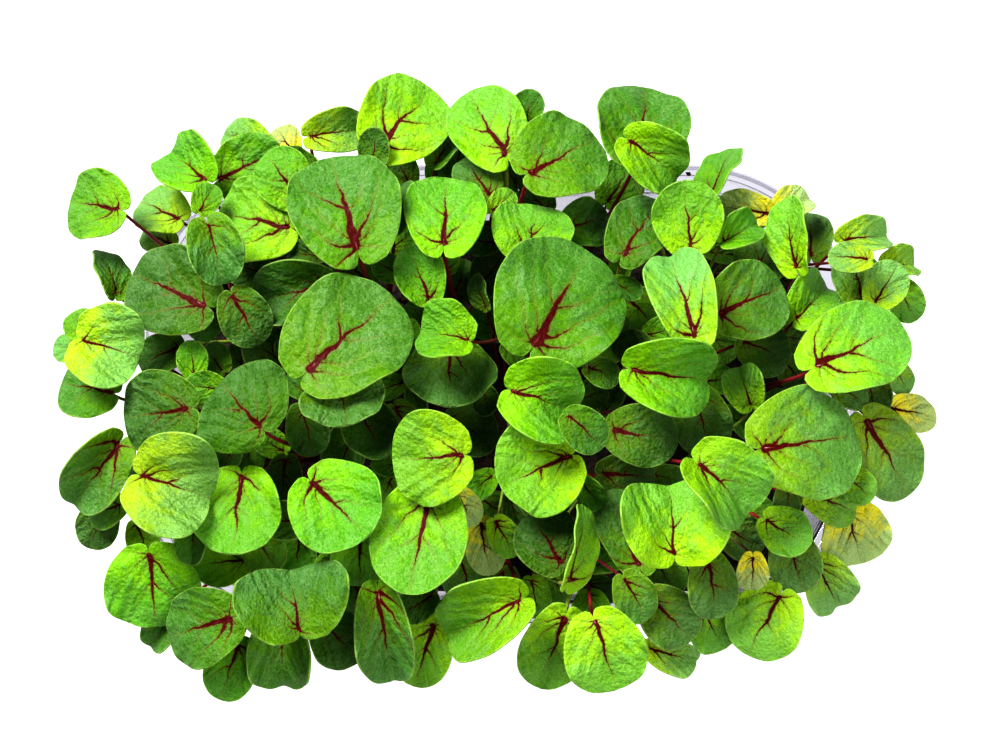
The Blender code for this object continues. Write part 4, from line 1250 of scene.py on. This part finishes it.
def vein_fields(shader, x, y, seed, reach, redness):
    """How far inside the red veins a place is, and how near the pale ones, from flat positions.

    The midrib narrows along the blade. Each side vein leaves it at a start and follows a
    parabola, so the distance from it is the difference in height over the slope's length. The
    seed and the side give each vein its own strength and slope.
    """
    out = shader.math("ABSOLUTE", x)
    side = shader.math("SIGN", x)
    width = shader.math("MULTIPLY", redness, 0.043)
    narrowed = shader.math("SUBTRACT", 1.0, shader.math("DIVIDE", y, reach))
    half = shader.math("MULTIPLY", narrowed, width)
    ahead = shader.ease(y, -0.035, -0.005, -0.2, 0.0)
    red = shader.math("ADD", shader.math("SUBTRACT", half, out), ahead)
    squared = shader.math("MULTIPLY_ADD", x, x, shader.math("MULTIPLY", y, y))
    star = shader.math("SUBTRACT", 0.036, shader.math("SQRT", squared))
    red = shader.math("MAXIMUM", red, star)
    pale = out
    for place, (start, slope, curve, far, thick) in enumerate(SIDE_VEINS, 1):
        own = shader.math("MULTIPLY", side, 0.31)
        drawn = shader.math("FRACT", shader.math("MULTIPLY_ADD", seed, 13.7 * place, own))
        turned = shader.math("MULTIPLY_ADD", drawn, 0.5, slope - 0.25)
        path = shader.math("MULTIPLY_ADD", out, curve, turned)
        path = shader.math("MULTIPLY_ADD", path, out, start)
        away = shader.math("ABSOLUTE", shader.math("SUBTRACT", y, path))
        away = shader.math("DIVIDE", away, math.hypot(1.0, slope + 0.35 * curve))
        strength = shader.math("MULTIPLY", redness, shader.ease(drawn, 0.0, 0.75, 1.15, 0.4))
        left = shader.math("SUBTRACT", strength, shader.math("DIVIDE", out, far))
        vein = shader.math("SUBTRACT", shader.math("MULTIPLY", left, thick), away)
        red = shader.math("MAXIMUM", red, vein)
        pale = shader.math("MINIMUM", pale, away)
    return red, pale


def leaf_material():
    """The blades: red veins, pale fine veins, grained green, soft sheen, and painted light: a base
    yellowed as if lit through, a cool bluish tip, silvery sheen spots and a pale margin painted as
    a highlight.
    """
    shader = Shader("sorrel_blade")
    x, y, _ = shader.place()
    reach, seed, redness = shader.parts(shader.read("habit").outputs["Vector"])
    edge, under, _ = shader.parts(shader.read("margin").outputs["Vector"])
    tint = shader.read("tint").outputs["Color"]
    local = shader.joined(x, y, shader.math("MULTIPLY", seed, 41.0))
    bend_x, bend_y, _ = shader.parts(shader.noise(local, 4.0).outputs["Color"])
    wide_x, wide_y = shader.shifted(bend_x, 0.12, x), shader.shifted(bend_y, 0.16, y)
    red, pale = vein_fields(shader, wide_x, wide_y, seed, reach, redness)
    red = shader.shifted(shader.noise(local, 38.0, 1.0).outputs[0], 0.018, red)
    red_share = shader.ease(red, -0.004, 0.006)
    laid_out = shader.joined(shader.math("MULTIPLY_ADD", seed, 41.0, x), y, 0.0)
    net = shader.cells(laid_out, 12.0, dimensions="2D")
    mottle = shader.noise(local, 6.0, 4.0, 0.6).outputs[0]
    grain = shader.noise(local, 60.0, 2.0, 0.75).outputs[0]
    # Painted light: towards the base the blade is yellowed as if lit through, and towards the tip
    # a cool, bluer copy is partly the leaf's own tone and partly a painted silvery sheen
    painted_base_glow = shader.tinted(tint, (1.4, 1.15, 0.25))
    cool_sheen_tip = shader.tinted(tint, (0.72, 0.82, 1.5))
    along = shader.shifted(mottle, 1.6, y)
    green = shader.mix(shader.ease(along, -0.1, 0.7), painted_base_glow, cool_sheen_tip)
    # Grain tone that differs at random, with the bright grains' bluer lift partly a painted
    # silvery sheen
    deep = shader.tinted(green, (0.68, 0.76, 0.4))
    bright = shader.tinted(green, (1.32, 1.22, 1.5))
    green = shader.mix(shader.ease(grain, 0.3, 0.7), deep, bright)
    # Painted sheen: pale silvery spots and fine specks, stronger towards the tip, are mixed into
    # the colour in place of highlights on the bumpy surface
    sheen_patches = shader.math("MULTIPLY_ADD", y, 0.25, mottle)
    sheen_speckle = shader.ease(grain, 0.4, 0.75)
    sheen_speckle = shader.math("MULTIPLY", shader.ease(sheen_patches, 0.5, 0.85), sheen_speckle)
    sheen = shader.ease(sheen_patches, 0.45, 0.85, 0.0, 0.08)
    painted_sheen = shader.math("MULTIPLY_ADD", sheen_speckle, 0.2, sheen)
    green = shader.mix(painted_sheen, green, (0.36, 0.56, 0.25))
    net_line = shader.ease(net, 0.0, 0.06, 0.14, 0.0)
    pale_line = shader.ease(pale, 0.003, 0.016, 1.0, 0.0)
    lines = shader.math("MULTIPLY_ADD", pale_line, 0.07, net_line)
    green = shader.mix(lines, green, (0.36, 0.58, 0.08))
    # Painted highlight: a pale band along the margin, where the thin edge catches the light
    green = shader.mix(shader.ease(edge, 0.05, 0.3, 0.32, 0.0), green, (0.50, 0.68, 0.16))
    green = shader.mix(shader.math("MULTIPLY", under, 0.35), green, (0.28, 0.46, 0.17))
    blush = shader.ease(red, -0.03, 0.0, 0.0, 0.35)
    green = shader.mix(blush, green, (0.14, 0.08, 0.006))
    colour = shader.mix(red_share, green, (0.080, 0.003, 0.002))
    shader.finish("Base Color", colour)
    shader.finish("Roughness", shader.ease(grain, 0.3, 0.7, 0.36, 0.5))
    shader.finish("Specular IOR Level", shader.ease(red, -0.004, 0.006, 0.26, 0.12))
    puckers = shader.ease(net, 0.0, 0.45)
    pillow = shader.ease(pale, 0.0, 0.14)
    height = shader.math("MULTIPLY_ADD", puckers, 0.25, shader.math("MULTIPLY", pillow, 0.9))
    height = shader.math("MULTIPLY_ADD", mottle, 2.6, height)
    height = shader.math("MULTIPLY_ADD", grain, 0.3, height)
    normal = shader.bump(height, 0.0004)
    through = shader.nodes.new("ShaderNodeBsdfTranslucent")
    shader.put(through.inputs["Color"], shader.tinted(colour, (1.7, 1.5, 0.5)))
    shader.put(through.inputs["Normal"], normal)
    both = shader.nodes.new("ShaderNodeMixShader")
    both.inputs[0].default_value = 0.3
    shader.links.new(shader.surface.outputs[0], both.inputs[1])
    shader.links.new(through.outputs[0], both.inputs[2])
    shader.links.new(both.outputs[0], shader.output.inputs["Surface"])
    return shader.material


def stalk_material():
    """The petioles: dark red, with painted shade darkening them towards the foot under the canopy,
    and fine lengthwise flecks.
    """
    shader = Shader("sorrel_stalk")
    run, _, _ = shader.place()
    tint = shader.read("tint").outputs["Color"]
    flecks = shader.noise(shader.body(), 900.0, 3.0).outputs[0]
    # Painted shade: the stalk darkens towards its foot, deep under the canopy where shade falls
    dark = shader.tinted(tint, (0.32, 0.32, 0.36))
    body = shader.mix(shader.ease(run, 0.0, 0.75), dark, tint)
    body = shader.mix(shader.ease(run, 0.7, 0.98), body, (0.11, 0.006, 0.008))
    bright = shader.tinted(body, (1.7, 2.2, 1.6))
    shader.finish("Base Color", shader.mix(shader.ease(flecks, 0.35, 0.75), body, bright))
    shader.finish("Roughness", shader.ease(flecks, 0.2, 0.8, 0.3, 0.5))
    shader.bump(flecks, 0.00005)
    return shader.material


def plastic_material():
    """Clear thermoformed plastic with a faint haze that comes and goes, and a grey-lilac tint that
    is painted shade.
    """
    shader = Shader("clear_plastic")
    haze = shader.noise(shader.body(), 60.0, 3.0).outputs[0]
    # Painted shade: the grey-lilac tint in the clear plastic stands in for the shaded background
    # seen through it
    shader.finish("Base Color", (0.54, 0.53, 0.59, 1.0))
    shader.finish("Transmission Weight", 1.0)
    shader.finish("IOR", 1.46)
    shader.finish("Roughness", shader.ease(haze, 0.3, 0.8, 0.04, 0.16))
    return shader.material


def medium_material():
    """Dark damp medium: crumbs in several browns, with fine fibres."""
    shader = Shader("growing_medium")
    body = shader.body()
    tint = shader.read("tint").outputs["Color"]
    lumps = shader.noise(body, 420.0, 5.0, 0.65).outputs[0]
    grains = shader.cells(body, 900.0, "F1")
    dark = shader.tinted(tint, (0.45, 0.42, 0.4))
    light = shader.tinted(tint, (2.2, 2.0, 1.8))
    shader.finish("Base Color", shader.mix(shader.ease(lumps, 0.35, 0.7), dark, light))
    shader.finish("Roughness", shader.ease(grains, 0.0, 0.6, 0.95, 0.7))
    shader.bump(shader.math("MULTIPLY_ADD", lumps, 1.5, grains), 0.0006)
    return shader.material


# Floor, light and camera


def make_stage():
    """A plain pale floor, a pale surround, and soft lamps above."""
    mesh = bpy.data.meshes.new("floor")
    corners = [(x * FLOOR_HALF, y * FLOOR_HALF, 0) for x, y in CORNERS]
    mesh.from_pydata(corners, [], [(0, 1, 2, 3)])
    floor = bpy.data.objects.new("floor", mesh)
    floor.location.z = -FLOOR_DROP
    bpy.context.scene.collection.objects.link(floor)
    shader = Shader("pale_floor")
    shader.finish("Base Color", (0.2, 0.2, 0.2, 1.0))
    shader.finish("Emission Color", (1.0, 1.0, 1.0, 1.0))
    shader.finish("Emission Strength", 0.8)
    shader.finish("Roughness", 0.9)
    shader.finish("Specular IOR Level", 0.0)
    mesh.materials.append(shader.material)
    world = bpy.data.worlds.new("pale_surround")
    world.use_nodes = True
    background = world.node_tree.nodes["Background"]
    background.inputs["Color"].default_value = (1.0, 1.0, 1.0, 1.0)
    background.inputs["Strength"].default_value = 0.22
    bpy.context.scene.world = world
    add_lamp("key", (-0.44, 0.52, 0.82), 0.42, 22.0)
    add_lamp("fill", (0.5, -0.4, 0.8), 0.7, 6.5)


def add_lamp(name, place, size, power):
    """A square area lamp that faces the canopy."""
    lamp = bpy.data.lights.new(name, "AREA")
    lamp.size = size
    lamp.energy = power
    lit = bpy.data.objects.new(name, lamp)
    lit.location = place
    aim = Vector((0, 0, CANOPY_MIDDLE[2] * MM)) - lit.location
    lit.rotation_euler = aim.to_track_quat("-Z", "Y").to_euler()
    bpy.context.scene.collection.objects.link(lit)


def make_camera():
    """The camera at EYE, with VIEW_WIDTH across its picture at the canopy's middle."""
    camera = bpy.data.cameras.new("camera")
    camera.sensor_width = SENSOR_WIDTH
    camera.lens = SENSOR_WIDTH * EYE_DISTANCE / VIEW_WIDTH
    camera.clip_start = 0.01
    camera.clip_end = 10.0
    viewer = bpy.data.objects.new("camera", camera)
    viewer.location = EYE * MM
    aim = Vector((CANOPY_MIDDLE - EYE + (0.0, -1.0, 0.0)) * MM)
    viewer.rotation_euler = aim.to_track_quat("-Z", "Y").to_euler()
    bpy.context.scene.collection.objects.link(viewer)
    bpy.context.scene.camera = viewer


def main():
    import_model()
    crowns, placed = grow(random.Random(SEED))
    grow_low(crowns, placed, random.Random(SEED + 1))
    materials = [leaf_material(), stalk_material()]
    draw = random.Random(SEED + 2)
    for number, crown in enumerate(crowns, 1):
        make_seedling(number, crown, materials, draw)
    make_punnet(plastic_material())
    make_medium(medium_material(), draw)
    make_stage()
    make_camera()
    bpy.context.scene.view_settings.view_transform = "Standard"
    bpy.context.scene.view_settings.look = "High Contrast"


main()
